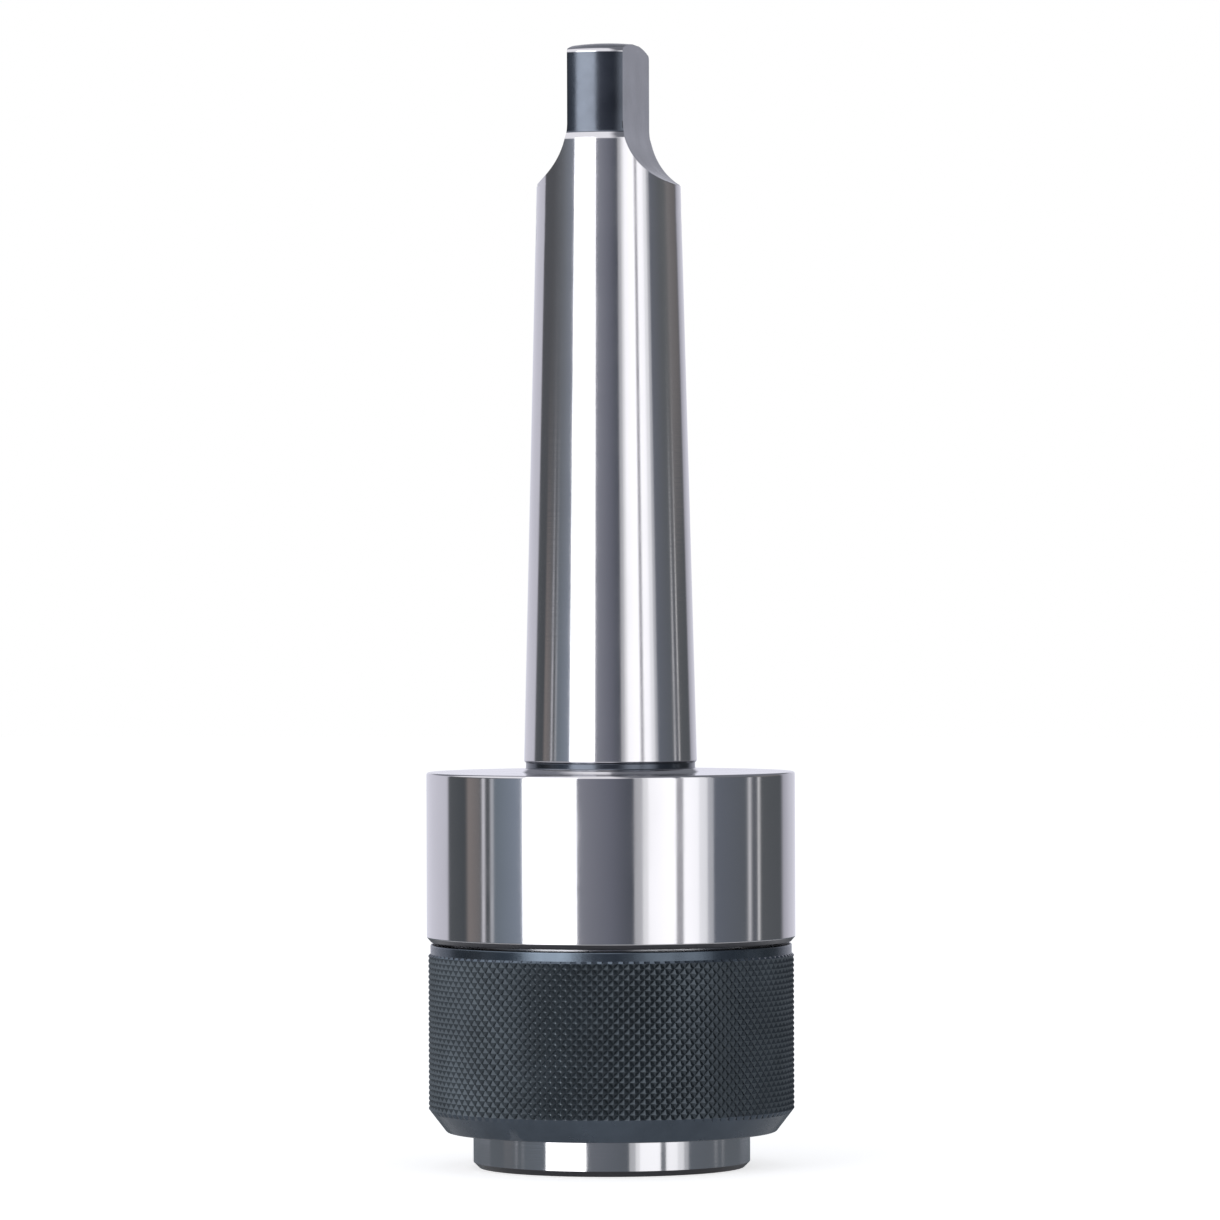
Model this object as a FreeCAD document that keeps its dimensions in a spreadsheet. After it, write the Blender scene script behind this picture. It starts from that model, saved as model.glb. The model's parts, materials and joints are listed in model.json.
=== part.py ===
import FreeCAD, Part
import math
import os
import re
import Sketcher

# Tapping chuck with a Morse taper 3 shank, millimetres.
# The axis is Z, the nose face lies at Z = 0 and the tang points up.
# The tang's two flats face +X and -X, and so do the two keyways in the nose.

# Each row is a name, its number and what it measures. Heights rise from the nose face.
SIZES = [
    ("bore_radius", 15.5, "socket for the tap adapter, which sets every radius below the shank"),
    ("floor_thickness", 5.6, "solid floor over the nut in the spindle"),
    ("relief_depth", 0.3, "relief in the socket at the locking balls"),
    ("relief_reach", 4.4, "relief above and below the locking balls"),
    ("keyway_half_width", 4.05, "half the width of a driving keyway"),
    ("keyway_depth", 2.1, "depth of a keyway in the socket's wall"),
    ("keyway_height", 7.0, "length of a keyway up the socket"),
    ("spindle_wall", 3.8, "wall of the spindle around the socket"),
    ("spindle_edge", 0.6, "chamfer at the spindle's upper end"),
    ("nose_chamfer", 0.8, "chamfers of the nose"),
    ("running_gap", 0.05, "radial clearance of a sliding fit"),
    ("ball_gap", 0.03, "radial clearance around a ball"),
    ("housing_wall", 6.35, "wall of the housing around the spindle"),
    ("housing_height", 23.65, "polished band of the housing"),
    ("housing_edge", 0.4, "broken edge at the housing's top"),
    ("housing_rim_in", 0.6, "inset of the housing's lower chamfer"),
    ("housing_rim_up", 0.7, "height of the housing's lower chamfer"),
    ("housing_roof", 6.05, "thickness of the housing's upper wall"),
    ("skirt_inset", 3.0, "step from the housing in to its skirt"),
    ("skirt_length", 5.0, "length of the skirt inside the sleeve"),
    ("skirt_edge", 0.4, "broken edges of the skirt"),
    ("neck_height", 1.55, "narrow neck between housing and taper"),
    ("neck_depth", 0.25, "step from the taper in to the neck"),
    ("neck_flare", 0.6, "foot of the neck on the housing"),
    ("taper_radius", 12.05, "radius of the taper at its lower end"),
    ("taper_length", 86.45, "length of the ground taper"),
    ("taper_rate", 0.0251, "radius lost for each millimetre up the taper"),
    ("taper_step", 0.7, "height of the small cone from taper to tang"),
    ("tang_height", 13.5, "tang above the ground taper"),
    ("tang_radius", 9.5, "round ends of the tang"),
    ("tang_half_thickness", 3.95, "half the distance across the tang's flats"),
    ("tang_crown", 1.1, "height of the tang's domed end"),
    ("tang_edge", 0.55, "rounded edge around the dome"),
    ("tang_flat_length", 11.35, "straight part of a flat"),
    ("runout_radius", 9.0, "cutter radius where a flat runs out"),
    ("shank_bore_radius", 7.0, "blind bore up the shank"),
    ("head_travel_room", 3.0, "room over the bolt's head"),
    ("drill_point", 4.0, "height of the drill point"),
    ("bush_step", 1.0, "step from the blind bore out to the bush"),
    ("bush_height", 7.0, "height of the guide bush"),
    ("bush_rise", 7.6, "upper face of the bush above the housing's ceiling"),
    ("bush_hole_radius", 1.0, "spanner holes of the bush"),
    ("bush_hole_depth", 3.0, "depth of a spanner hole"),
    ("spigot_wall", 2.6, "wall of the shank's threaded spigot around the bush"),
    ("nut_width", 13.0, "width across flats of the nut"),
    ("nut_height", 5.0, "height of the nut"),
    ("nut_chamfer", 0.8, "height of the nut's corner chamfers"),
    ("nut_room", 1.1, "room around the nut's corners"),
    ("nut_drop", 1.5, "space between the nut and the socket's end"),
    ("bolt_radius", 4.0, "shank of the float bolt"),
    ("bolt_tip", 0.8, "end of the bolt beyond the nut"),
    ("bolt_chamfer", 0.7, "chamfer at the bolt's end"),
    ("head_gap", 0.5, "radial gap between the bolt's head and the blind bore"),
    ("head_height", 8.0, "height of the bolt's head"),
    ("head_chamfer", 0.6, "chamfer of the bolt's head"),
    ("socket_width", 6.0, "width across flats of the head's socket"),
    ("socket_depth", 4.0, "depth of the head's socket"),
    ("washer_gap", 0.15, "radial gap between a washer and the bolt"),
    ("washer_thickness", 1.2, "thickness of the washer under the head"),
    ("lock_washer_thickness", 1.4, "thickness of the washer on the nut"),
    ("float_spring_length", 34.2, "float spring with the spindle home"),
    ("float_wire_radius", 0.9, "wire of the float spring"),
    ("float_pitch", 3.8, "pitch of the float spring"),
    ("drive_ball_radius", 3.0, "driving ball"),
    ("drive_ball_sink", 0.7, "centre of a driving ball inside the spindle's surface"),
    ("drive_ball_drop", 5.2, "driving balls below the housing's ceiling"),
    ("groove_room", 0.4, "room over a driving ball in its groove"),
    ("lock_ball_radius", 3.0, "locking ball"),
    ("lock_ball_sink", 1.85, "centre of a locked ball outside the socket's wall"),
    ("lock_ball_height", 21.4, "height of the locking balls"),
    ("lock_slope", 0.325, "radius gained for each millimetre up the locking cone"),
    ("cone_gap", 0.02, "clearance between ball and locking cone"),
    ("cone_step", 1.1, "step from the locking cone out to the room for the skirt"),
    ("sleeve_bottom", 4.95, "lower face of the sleeve above the nose face"),
    ("sleeve_inset", 0.2, "step from the housing in to the knurl's crests"),
    ("sleeve_chamfer_in", 2.5, "inset of the sleeve's lower chamfer"),
    ("sleeve_chamfer_up", 3.25, "height of the sleeve's lower chamfer"),
    ("knurl_length", 21.6, "length of the knurl"),
    ("rim_drop", 0.3, "step from the knurl's crests in to the rim"),
    ("rim_height", 1.3, "smooth rim above the knurl"),
    ("rim_edge", 0.25, "broken edge of the rim"),
    ("rest_gap", 0.3, "gap between rim and housing at rest"),
    ("chamber_wall", 3.7, "wall of the sleeve around its spring chamber"),
    ("chamber_depth", 9.95, "depth of the spring chamber"),
    ("land_chamfer", 0.3, "chamfer under the guide land"),
    ("skirt_room", 0.3, "radial room between skirt and sleeve"),
    ("ring_rise", 0.35, "snap ring above the sleeve's lower face"),
    ("ring_groove_depth", 0.8, "depth of the snap ring's groove"),
    ("ring_width", 2.35, "radial width of the snap ring"),
    ("ring_thickness", 1.0, "thickness of the snap ring"),
    ("ring_opening", 28.0, "opening of the snap ring in degrees"),
    ("seat_thickness", 1.0, "thickness of the spring seat ring"),
    ("seat_gap", 0.08, "radial gap between the seat ring and the sleeve"),
    ("sleeve_wire_radius", 0.75, "wire of the sleeve spring"),
    ("sleeve_pitch", 3.1, "pitch of the sleeve spring"),
]
VALUES = {row[0]: row[1] for row in SIZES}

# Radii that follow from the socket's radius, outwards.
NOSE = "(bore_radius + spindle_wall)"
CUP = "(bore_radius + spindle_wall + running_gap)"
HOUSING = "(bore_radius + spindle_wall + running_gap + housing_wall)"
SKIRT = "(%s - skirt_inset)" % HOUSING
SLEEVE = "(%s - sleeve_inset)" % HOUSING
RIM = "(%s - rim_drop)" % SLEEVE
CHAMBER = "(%s - chamber_wall)" % SLEEVE
DRIVE_PITCH = "(%s - drive_ball_sink)" % NOSE
LOCK_PITCH = "(bore_radius + lock_ball_sink)"
RING_GROOVE = "(%s - ring_groove_depth)" % NOSE

# Radii inside the shank.
BUSH = "(shank_bore_radius + bush_step)"
SPIGOT = "(%s + spigot_wall)" % BUSH
BOLT_HOLE = "(bolt_radius + running_gap)"
NUT_RECESS = "(nut_width / sqrt(3) + nut_room)"

# Heights that follow from each other, upwards from the nose face.
KNURL_BOTTOM = "(sleeve_bottom + sleeve_chamfer_up)"
KNURL_TOP = "(%s + knurl_length)" % KNURL_BOTTOM
SLEEVE_TOP = "(%s + rim_height)" % KNURL_TOP
HOUSING_BOTTOM = "(%s + rest_gap)" % SLEEVE_TOP
SKIRT_BOTTOM = "(%s - skirt_length)" % HOUSING_BOTTOM
HOUSING_TOP = "(%s + housing_height)" % HOUSING_BOTTOM
CEILING = "(%s - housing_roof)" % HOUSING_TOP
TAPER_BOTTOM = "(%s + neck_height)" % HOUSING_TOP
TAPER_TOP = "(%s + taper_length)" % TAPER_BOTTOM
TANG_TOP = "(%s + tang_height)" % TAPER_TOP
BUSH_TOP = "(%s + bush_rise)" % CEILING
WASHER_BOTTOM = "(%s + float_spring_length)" % BUSH_TOP
HEAD_BOTTOM = "(%s + washer_thickness)" % WASHER_BOTTOM
HEAD_TOP = "(%s + head_height)" % HEAD_BOTTOM
FLOOR_BOTTOM = "(%s - floor_thickness)" % CEILING
LOCK_WASHER_BOTTOM = "(%s - lock_washer_thickness)" % FLOOR_BOTTOM
NUT_BOTTOM = "(%s - nut_height)" % LOCK_WASHER_BOTTOM
SOCKET_END = "(%s - nut_drop)" % NUT_BOTTOM
DRIVE_BALL_HEIGHT = "(%s - drive_ball_drop)" % CEILING
RING_BOTTOM = "(sleeve_bottom + ring_rise)"
SEAT_BOTTOM = "(%s + ring_thickness)" % RING_BOTTOM
SEAT_TOP = "(%s + seat_thickness)" % SEAT_BOTTOM
CHAMBER_TOP = "(sleeve_bottom + chamber_depth)"

# Both sets of four balls are evenly spread. The locking balls stand between the driving balls.
BALLS = 4
DRIVE_BALL_ANGLES = [0, 90, 180, 270]
LOCK_BALL_ANGLES = [45, 135, 225, 315]
FULL_TURN = 360

# The tang's dome falls with the square of the distance from the axis, drawn at these shares of it.
DOME_SHARES = [0, 0.25, 0.45, 0.65, 0.85]

# A cut that only has to reach past the metal goes this much further.
OVERSHOOT = 2.0

doc = FreeCAD.newDocument("TappingChuck")


def fill_sheet():
    """Write each size as a plain number with its name as alias, and its meaning beside it."""
    sheet = doc.addObject("Spreadsheet::Sheet", "Sizes")
    for row, (alias, number, meaning) in enumerate(SIZES, start=1):
        sheet.set("A%d" % row, alias)
        sheet.set("B%d" % row, str(number))
        sheet.set("C%d" % row, meaning)
        sheet.setAlias("B%d" % row, alias)
    doc.recompute()


def bound(text):
    """Turn a formula of size names into an expression that reads the sheet."""
    def cell(match):
        word = match.group(0)
        return "Sizes." + word if word in VALUES else word
    return re.sub(r"[a-z][a-z_0-9]*", cell, text)


def number(text):
    """Work out a formula of size names with the sheet's present numbers."""
    def value(match):
        word = match.group(0)
        return repr(float(VALUES[word])) if word in VALUES else word
    return float(FreeCAD.Units.Quantity(re.sub(r"[a-z][a-z_0-9]*", value, text)).Value)


def new_body(label):
    """Make an empty body whose label names the piece."""
    body = doc.addObject("PartDesign::Body", label.title().replace("_", ""))
    body.Label = label
    body.Placement = FreeCAD.Placement()
    return body


def new_sketch(body, role, lift=None):
    """Attach a sketch to one of the body's own planes, lifted along its normal by a formula."""
    sketch = body.newObject("Sketcher::SketchObject", body.Name + "Sketch")
    planes = [item for item in body.Origin.OriginFeatures if item.Role == role]
    sketch.AttachmentSupport = [(planes[0], "")]
    sketch.MapMode = "FlatFace"
    if lift is not None:
        sketch.setExpression("AttachmentOffset.Base.z", bound(lift))
    return sketch


def pin_point(sketch, edge, end, x_text, y_text):
    """Fix one end of an edge at a place given by two formulas."""
    for kind, text, axis in (("DistanceX", x_text, -2), ("DistanceY", y_text, -1)):
        if text == "0":
            sketch.addConstraint(Sketcher.Constraint("PointOnObject", edge, end, axis))
            continue
        index = sketch.addConstraint(Sketcher.Constraint(kind, -1, 1, edge, end, number(text)))
        sketch.setExpression("Constraints[%d]" % index, bound(text))


def outline(sketch, points):
    """Draw a closed outline of straight edges through points given as pairs of formulas."""
    places = [FreeCAD.Vector(number(x), number(y), 0) for x, y in points]
    count = len(places)
    for index in range(count):
        sketch.addGeometry(Part.LineSegment(places[index], places[(index + 1) % count]), False)
    for index in range(count):
        sketch.addConstraint(Sketcher.Constraint("Coincident", index, 2, (index + 1) % count, 1))
    for index, (x_text, y_text) in enumerate(points):
        pin_point(sketch, index, 1, x_text, y_text)
    return sketch


def circle(sketch, x_text, y_text, radius_text):
    """Draw a circle whose centre and radius are formulas."""
    centre = FreeCAD.Vector(number(x_text), number(y_text), 0)
    index = sketch.addGeometry(Part.Circle(centre, FreeCAD.Vector(0, 0, 1), number(radius_text)), False)
    pin_point(sketch, index, 3, x_text, y_text)
    radius = sketch.addConstraint(Sketcher.Constraint("Radius", index, number(radius_text)))
    sketch.setExpression("Constraints[%d]" % radius, bound(radius_text))
    return sketch


def turned(body, points, angle=None):
    """Revolve an outline of (radius, height) points about the axis."""
    sketch = outline(new_sketch(body, "XZ_Plane"), points)
    feature = body.newObject("PartDesign::Revolution", body.Name + "Turned")
    feature.Profile = sketch
    feature.ReferenceAxis = (sketch, ["V_Axis"])
    feature.Angle = FULL_TURN
    if angle is not None:
        feature.setExpression("Angle", bound(angle))
    doc.recompute()
    return feature


def volume_drop(body, before, what):
    """Stop if a cut left the solid as it was."""
    doc.recompute()
    if not body.Shape.Volume < before - 1e-3:
        raise RuntimeError("no metal removed by " + what)


def pocket(body, sketch, length, towards_normal, what):
    """Cut a sketch into the body, along its normal or against it."""
    before = body.Shape.Volume
    feature = body.newObject("PartDesign::Pocket", body.Name + "Pocket")
    feature.Profile = sketch
    feature.Type = "Length"
    feature.Reversed = towards_normal
    feature.setExpression("Length", bound(length))
    volume_drop(body, before, what)
    return feature


def around(body, feature, copies):
    """Repeat a cut evenly around the axis."""
    before = body.Shape.Volume
    pattern = body.newObject("PartDesign::PolarPattern", body.Name + "Pattern")
    pattern.Originals = [feature]
    axes = [item for item in body.Origin.OriginFeatures if item.Role == "Z_Axis"]
    pattern.Axis = (axes[0], [""])
    pattern.Angle = FULL_TURN
    pattern.Occurrences = copies
    body.Tip = pattern
    volume_drop(body, before, "a pattern")
    return pattern


def groove(body, sketch, before, what, axis="V_Axis"):
    """Cut a sketch out of the body by a full turn about one of the sketch's own axes."""
    feature = body.newObject("PartDesign::Groove", body.Name + "Groove")
    feature.Profile = sketch
    feature.ReferenceAxis = (sketch, [axis])
    feature.Angle = FULL_TURN
    volume_drop(body, before, what)
    return feature


def ball_seat(body, pitch, height, radius, reach, what, turn=0):
    """Cut a radial hole with a round bottom: a quarter circle and a straight run, turned about its axis."""
    before = body.Shape.Volume
    sketch = new_sketch(body, "XZ_Plane")
    sketch.AttachmentOffset = FreeCAD.Placement(FreeCAD.Vector(), FreeCAD.Rotation(FreeCAD.Vector(0, 1, 0), turn))
    sketch.setExpression("AttachmentOffset.Base.y", bound(height))
    middle = number(pitch)
    size = number(radius)
    rim = FreeCAD.Vector(middle, size, 0)
    corner = FreeCAD.Vector(number(reach), size, 0)
    foot = FreeCAD.Vector(number(reach), 0, 0)
    full = Part.Circle(FreeCAD.Vector(middle, 0, 0), FreeCAD.Vector(0, 0, 1), size)
    arc = sketch.addGeometry(Part.ArcOfCircle(full, 0.5 * math.pi, math.pi), False)
    side = sketch.addGeometry(Part.LineSegment(rim, corner), False)
    end = sketch.addGeometry(Part.LineSegment(corner, foot), False)
    base = sketch.addGeometry(Part.LineSegment(foot, FreeCAD.Vector(middle - size, 0, 0)), False)
    sketch.addConstraint(Sketcher.Constraint("Coincident", arc, 1, side, 1))
    sketch.addConstraint(Sketcher.Constraint("Coincident", side, 2, end, 1))
    sketch.addConstraint(Sketcher.Constraint("Coincident", end, 2, base, 1))
    sketch.addConstraint(Sketcher.Constraint("Coincident", base, 2, arc, 2))
    sketch.addConstraint(Sketcher.Constraint("Horizontal", side))
    sketch.addConstraint(Sketcher.Constraint("Vertical", end))
    sketch.addConstraint(Sketcher.Constraint("PointOnObject", base, 2, -1))
    pin_point(sketch, arc, 3, pitch, "0")
    pin_point(sketch, end, 2, reach, "0")
    pin_point(sketch, side, 1, pitch, radius)
    return groove(body, sketch, before, what, "H_Axis")


def hexagon(sketch, width):
    """Draw a hexagon whose width across flats is a formula, with two corners on the sketch's Y axis."""
    half = width + " / 2"
    low = width + " / (2 * sqrt(3))"
    high = width + " / sqrt(3)"
    points = [("0", high), ("-" + half, low), ("-" + half, "-" + low),
              ("0", "-" + high), (half, "-" + low), (half, low)]
    return outline(sketch, points)


def ring(label, inner, outer, bottom, top, angle=None):
    """A flat ring, whole or open, between two radii and two heights."""
    body = new_body(label)
    turned(body, [(inner, bottom), (outer, bottom), (outer, top), (inner, top)], angle)
    return body


def ball(label, radius, pitch, height, angle):
    """A steel ball at a distance from the axis, at a height and an angle."""
    sphere = doc.addObject("Part::Sphere", label.title().replace("_", ""))
    sphere.Label = label
    sphere.setExpression("Radius", bound(radius))
    sphere.setExpression("Placement.Base.x", bound("(%s) * cos(%d deg)" % (pitch, angle)))
    sphere.setExpression("Placement.Base.y", bound("(%s) * sin(%d deg)" % (pitch, angle)))
    sphere.setExpression("Placement.Base.z", bound(height))
    return sphere


def spring(label, coil, wire, pitch, bottom, top):
    """A round wire wound at an even pitch, one wire longer than its space, with both ends ground flat."""
    body = new_body(label)
    sketch = new_sketch(body, "XZ_Plane")
    circle(sketch, coil, "(%s) - 0.5 * %s" % (bottom, wire), wire)
    doc.recompute()
    wound = body.newObject("PartDesign::AdditiveHelix", body.Name + "Wound")
    wound.Profile = sketch
    wound.ReferenceAxis = (sketch, ["V_Axis"])
    wound.Mode = 0
    wound.setExpression("Pitch", bound(pitch))
    wound.setExpression("Height", bound("(%s) - (%s) + %s" % (top, bottom, wire)))
    doc.recompute()
    inner = "(%s) - 2 * %s" % (coil, wire)
    outer = "(%s) + 2 * %s" % (coil, wire)
    grind_end(body, inner, outer, "(%s) - 4 * %s" % (bottom, wire), bottom)
    grind_end(body, inner, outer, top, "(%s) + 4 * %s" % (top, wire))
    return body


def grind_end(body, inner, outer, low, high):
    """Take off everything between two heights from a wound spring."""
    before = body.Shape.Volume
    sketch = outline(new_sketch(body, "XZ_Plane"), [(inner, low), (outer, low), (outer, high), (inner, high)])
    groove(body, sketch, before, "grinding an end")


def taper_shank():
    """Tang, ground taper and neck, with a threaded spigot below and the blind bore inside."""
    body = new_body("taper_shank")
    taper_end = "(taper_radius - taper_rate * taper_length)"
    neck = "(taper_radius - neck_depth)"
    dome_edge = "%s - tang_crown" % TANG_TOP
    dome = [("(tang_radius - tang_edge) * %s" % share, "%s - tang_crown * %s * %s" % (TANG_TOP, share, share))
            for share in DOME_SHARES]
    turned(body, dome + [
        ("tang_radius - tang_edge", dome_edge),
        ("tang_radius - tang_edge * 0.293", dome_edge + " - tang_edge * 0.293"),
        ("tang_radius", dome_edge + " - tang_edge"),
        ("tang_radius", TAPER_TOP + " + taper_step"),
        (taper_end, TAPER_TOP),
        ("taper_radius", TAPER_BOTTOM),
        (neck, TAPER_BOTTOM + " - neck_depth"),
        (neck, HOUSING_TOP + " + neck_flare"),
        (neck + " + neck_flare * 0.293", HOUSING_TOP + " + neck_flare * 0.293"),
        (neck + " + neck_flare", HOUSING_TOP),
        (SPIGOT, HOUSING_TOP),
        (SPIGOT, CEILING),
        (BUSH, CEILING),
        (BUSH, BUSH_TOP),
        ("shank_bore_radius", BUSH_TOP),
        ("shank_bore_radius", HEAD_TOP + " + head_travel_room"),
        ("0", HEAD_TOP + " + head_travel_room + drill_point"),
    ])
    cut_tang(body)
    return body


def housing():
    """Polished housing: a wall over the spindle, a cup around it and a skirt inside the sleeve."""
    body = new_body("housing")
    turned(body, [
        (SPIGOT, HOUSING_TOP),
        (HOUSING + " - housing_edge", HOUSING_TOP),
        (HOUSING, HOUSING_TOP + " - housing_edge"),
        (HOUSING, HOUSING_BOTTOM + " + housing_rim_up"),
        (HOUSING + " - housing_rim_in", HOUSING_BOTTOM),
        (SKIRT, HOUSING_BOTTOM),
        (SKIRT, SKIRT_BOTTOM + " + skirt_edge"),
        (SKIRT + " - skirt_edge", SKIRT_BOTTOM),
        (CUP + " + skirt_edge", SKIRT_BOTTOM),
        (CUP, SKIRT_BOTTOM + " + skirt_edge"),
        (CUP, CEILING),
        (SPIGOT, CEILING),
    ])
    grooves = new_sketch(body, "XY_Plane", lift="%s - %s" % (SKIRT_BOTTOM, OVERSHOOT))
    circle(grooves, DRIVE_PITCH, "0", "drive_ball_radius + ball_gap")
    top = "%s + drive_ball_radius + groove_room" % DRIVE_BALL_HEIGHT
    first = pocket(body, grooves, "%s - %s + %s" % (top, SKIRT_BOTTOM, OVERSHOOT), True, "a ball groove")
    around(body, first, BALLS)
    return body


def cut_tang(body):
    """Mill the two flats: each is straight from the end, then leaves the metal along a quarter circle."""
    before = body.Shape.Volume
    sketch = new_sketch(body, "XZ_Plane")
    flat = "tang_half_thickness"
    turn_height = "%s - tang_flat_length" % TANG_TOP
    centre_x = "tang_half_thickness + runout_radius"
    low = turn_height + " - runout_radius"
    high = "%s + %s" % (TANG_TOP, OVERSHOOT)
    centre = FreeCAD.Vector(number(centre_x), number(turn_height), 0)
    full = Part.Circle(centre, FreeCAD.Vector(0, 0, 1), number("runout_radius"))
    arc = sketch.addGeometry(Part.ArcOfCircle(full, math.pi, 1.5 * math.pi), False)
    corners = [(centre_x, low), (centre_x, high), (flat, high), (flat, turn_height)]
    places = [FreeCAD.Vector(number(x), number(y), 0) for x, y in corners]
    lines = [sketch.addGeometry(Part.LineSegment(places[i], places[i + 1]), False) for i in range(3)]
    sketch.addConstraint(Sketcher.Constraint("Coincident", arc, 2, lines[0], 1))
    sketch.addConstraint(Sketcher.Constraint("Coincident", lines[0], 2, lines[1], 1))
    sketch.addConstraint(Sketcher.Constraint("Coincident", lines[1], 2, lines[2], 1))
    sketch.addConstraint(Sketcher.Constraint("Coincident", lines[2], 2, arc, 1))
    pin_point(sketch, arc, 3, centre_x, turn_height)
    pin_point(sketch, lines[0], 1, centre_x, low)
    pin_point(sketch, lines[1], 1, centre_x, high)
    pin_point(sketch, lines[1], 2, flat, high)
    level = sketch.addConstraint(Sketcher.Constraint("DistanceY", -1, 1, lines[2], 2, number(turn_height)))
    sketch.setExpression("Constraints[%d]" % level, bound(turn_height))
    feature = body.newObject("PartDesign::Pocket", "TangFlat")
    feature.Profile = sketch
    feature.Type = "Length"
    feature.SideType = "Symmetric"
    feature.setExpression("Length", bound("4 * tang_radius"))
    volume_drop(body, before, "a tang flat")
    around(body, feature, 2)


def guide_bush():
    """Threaded bush that closes the shank bore from below, guides the bolt and carries the float spring."""
    bottom = "%s - bush_height" % BUSH_TOP
    body = ring("guide_bush", BOLT_HOLE, BUSH, bottom, BUSH_TOP)
    middle = "(%s + %s) / 2" % (BOLT_HOLE, BUSH)
    sketch = circle(new_sketch(body, "XY_Plane", lift=bottom), middle, "0", "bush_hole_radius")
    hole = pocket(body, sketch, "bush_hole_depth", True, "a spanner hole")
    around(body, hole, 2)
    return body


def spindle():
    """Floating spindle: adapter socket below, solid floor above, keyways, ball seats and ring groove."""
    body = new_body("spindle")
    groove_top = "%s + ring_thickness + running_gap" % RING_BOTTOM
    relief = "bore_radius + relief_depth"
    turned(body, [
        (BOLT_HOLE, CEILING),
        (NOSE + " - spindle_edge", CEILING),
        (NOSE, CEILING + " - spindle_edge"),
        (NOSE, groove_top),
        (RING_GROOVE, groove_top),
        (RING_GROOVE, RING_BOTTOM),
        (NOSE, RING_BOTTOM),
        (NOSE, "nose_chamfer"),
        (NOSE + " - nose_chamfer", "0"),
        ("bore_radius + nose_chamfer", "0"),
        ("bore_radius", "nose_chamfer"),
        ("bore_radius", "lock_ball_height - relief_reach"),
        (relief, "lock_ball_height - relief_reach"),
        (relief, "lock_ball_height + relief_reach"),
        ("bore_radius", "lock_ball_height + relief_reach"),
        ("bore_radius", SOCKET_END),
        (NUT_RECESS, SOCKET_END),
        (NUT_RECESS, FLOOR_BOTTOM),
        (BOLT_HOLE, FLOOR_BOTTOM),
    ])
    side = "(bore_radius + keyway_depth)"
    keys = outline(new_sketch(body, "XY_Plane", lift="-%s" % OVERSHOOT), [
        ("-" + side, "-keyway_half_width"),
        (side, "-keyway_half_width"),
        (side, "keyway_half_width"),
        ("-" + side, "keyway_half_width"),
    ])
    pocket(body, keys, "keyway_height + %s" % OVERSHOOT, True, "the keyways")
    reach = "%s + %s" % (NOSE, OVERSHOOT)
    drive = ball_seat(body, DRIVE_PITCH, DRIVE_BALL_HEIGHT, "drive_ball_radius + ball_gap", reach,
                      "a driving ball seat")
    around(body, drive, BALLS)
    lock = ball_seat(body, LOCK_PITCH, "lock_ball_height", "lock_ball_radius + ball_gap", reach,
                     "a locking ball hole", LOCK_BALL_ANGLES[0])
    around(body, lock, BALLS)
    return body


def float_bolt():
    """Cap screw whose head rides up and down in the shank bore with the spindle."""
    body = new_body("float_bolt")
    head = "(shank_bore_radius - head_gap)"
    end = "%s - bolt_tip" % NUT_BOTTOM
    turned(body, [
        ("0", HEAD_TOP),
        (head + " - head_chamfer", HEAD_TOP),
        (head, HEAD_TOP + " - head_chamfer"),
        (head, HEAD_BOTTOM),
        ("bolt_radius", HEAD_BOTTOM),
        ("bolt_radius", end + " + bolt_chamfer"),
        ("bolt_radius - bolt_chamfer", end),
        ("0", end),
    ])
    socket = hexagon(new_sketch(body, "XY_Plane", lift=HEAD_TOP), "socket_width")
    pocket(body, socket, "socket_depth", False, "the socket of the bolt's head")
    return body


def float_nut():
    """Hexagon nut under the spindle's floor, its lower corners chamfered."""
    body = new_body("float_nut")
    sketch = hexagon(new_sketch(body, "XY_Plane", lift=NUT_BOTTOM), "nut_width")
    pad = body.newObject("PartDesign::Pad", "NutPad")
    pad.Profile = sketch
    pad.setExpression("Length", bound("nut_height"))
    doc.recompute()
    hole = circle(new_sketch(body, "XY_Plane", lift=NUT_BOTTOM), "0", "0", "bolt_radius")
    pocket(body, hole, "nut_height", True, "the nut's hole")
    before = body.Shape.Volume
    corner = outline(new_sketch(body, "XZ_Plane"), [
        ("nut_width * 0.49", NUT_BOTTOM),
        ("nut_width * 0.62", NUT_BOTTOM),
        ("nut_width * 0.62", NUT_BOTTOM + " + nut_chamfer"),
    ])
    groove(body, corner, before, "the nut's corner chamfers")
    return body


def locking_sleeve():
    """Sleeve with the spring chamber, the guide land, the locking cone and the room for the skirt."""
    body = new_body("locking_sleeve")
    touch = "(%s + lock_ball_radius * sqrt(1 + lock_slope * lock_slope) + cone_gap)" % LOCK_PITCH
    room = "(%s + skirt_room)" % SKIRT
    cone_top = "(%s - cone_step)" % room
    cone_start = "lock_ball_height - (%s - %s) / lock_slope" % (touch, CUP)
    cone_end = "lock_ball_height + (%s - %s) / lock_slope" % (cone_top, touch)
    turned(body, [
        (CHAMBER, "sleeve_bottom"),
        (SLEEVE + " - sleeve_chamfer_in", "sleeve_bottom"),
        (SLEEVE, KNURL_BOTTOM),
        (SLEEVE, KNURL_TOP + " - rim_drop"),
        (RIM, KNURL_TOP),
        (RIM, SLEEVE_TOP + " - rim_edge"),
        (RIM + " - rim_edge", SLEEVE_TOP),
        (room, SLEEVE_TOP),
        (room, cone_end),
        (cone_top, cone_end),
        (CUP, cone_start),
        (CUP, CHAMBER_TOP + " + land_chamfer"),
        (CUP + " + land_chamfer", CHAMBER_TOP),
        (CHAMBER, CHAMBER_TOP),
    ])
    return body


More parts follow.
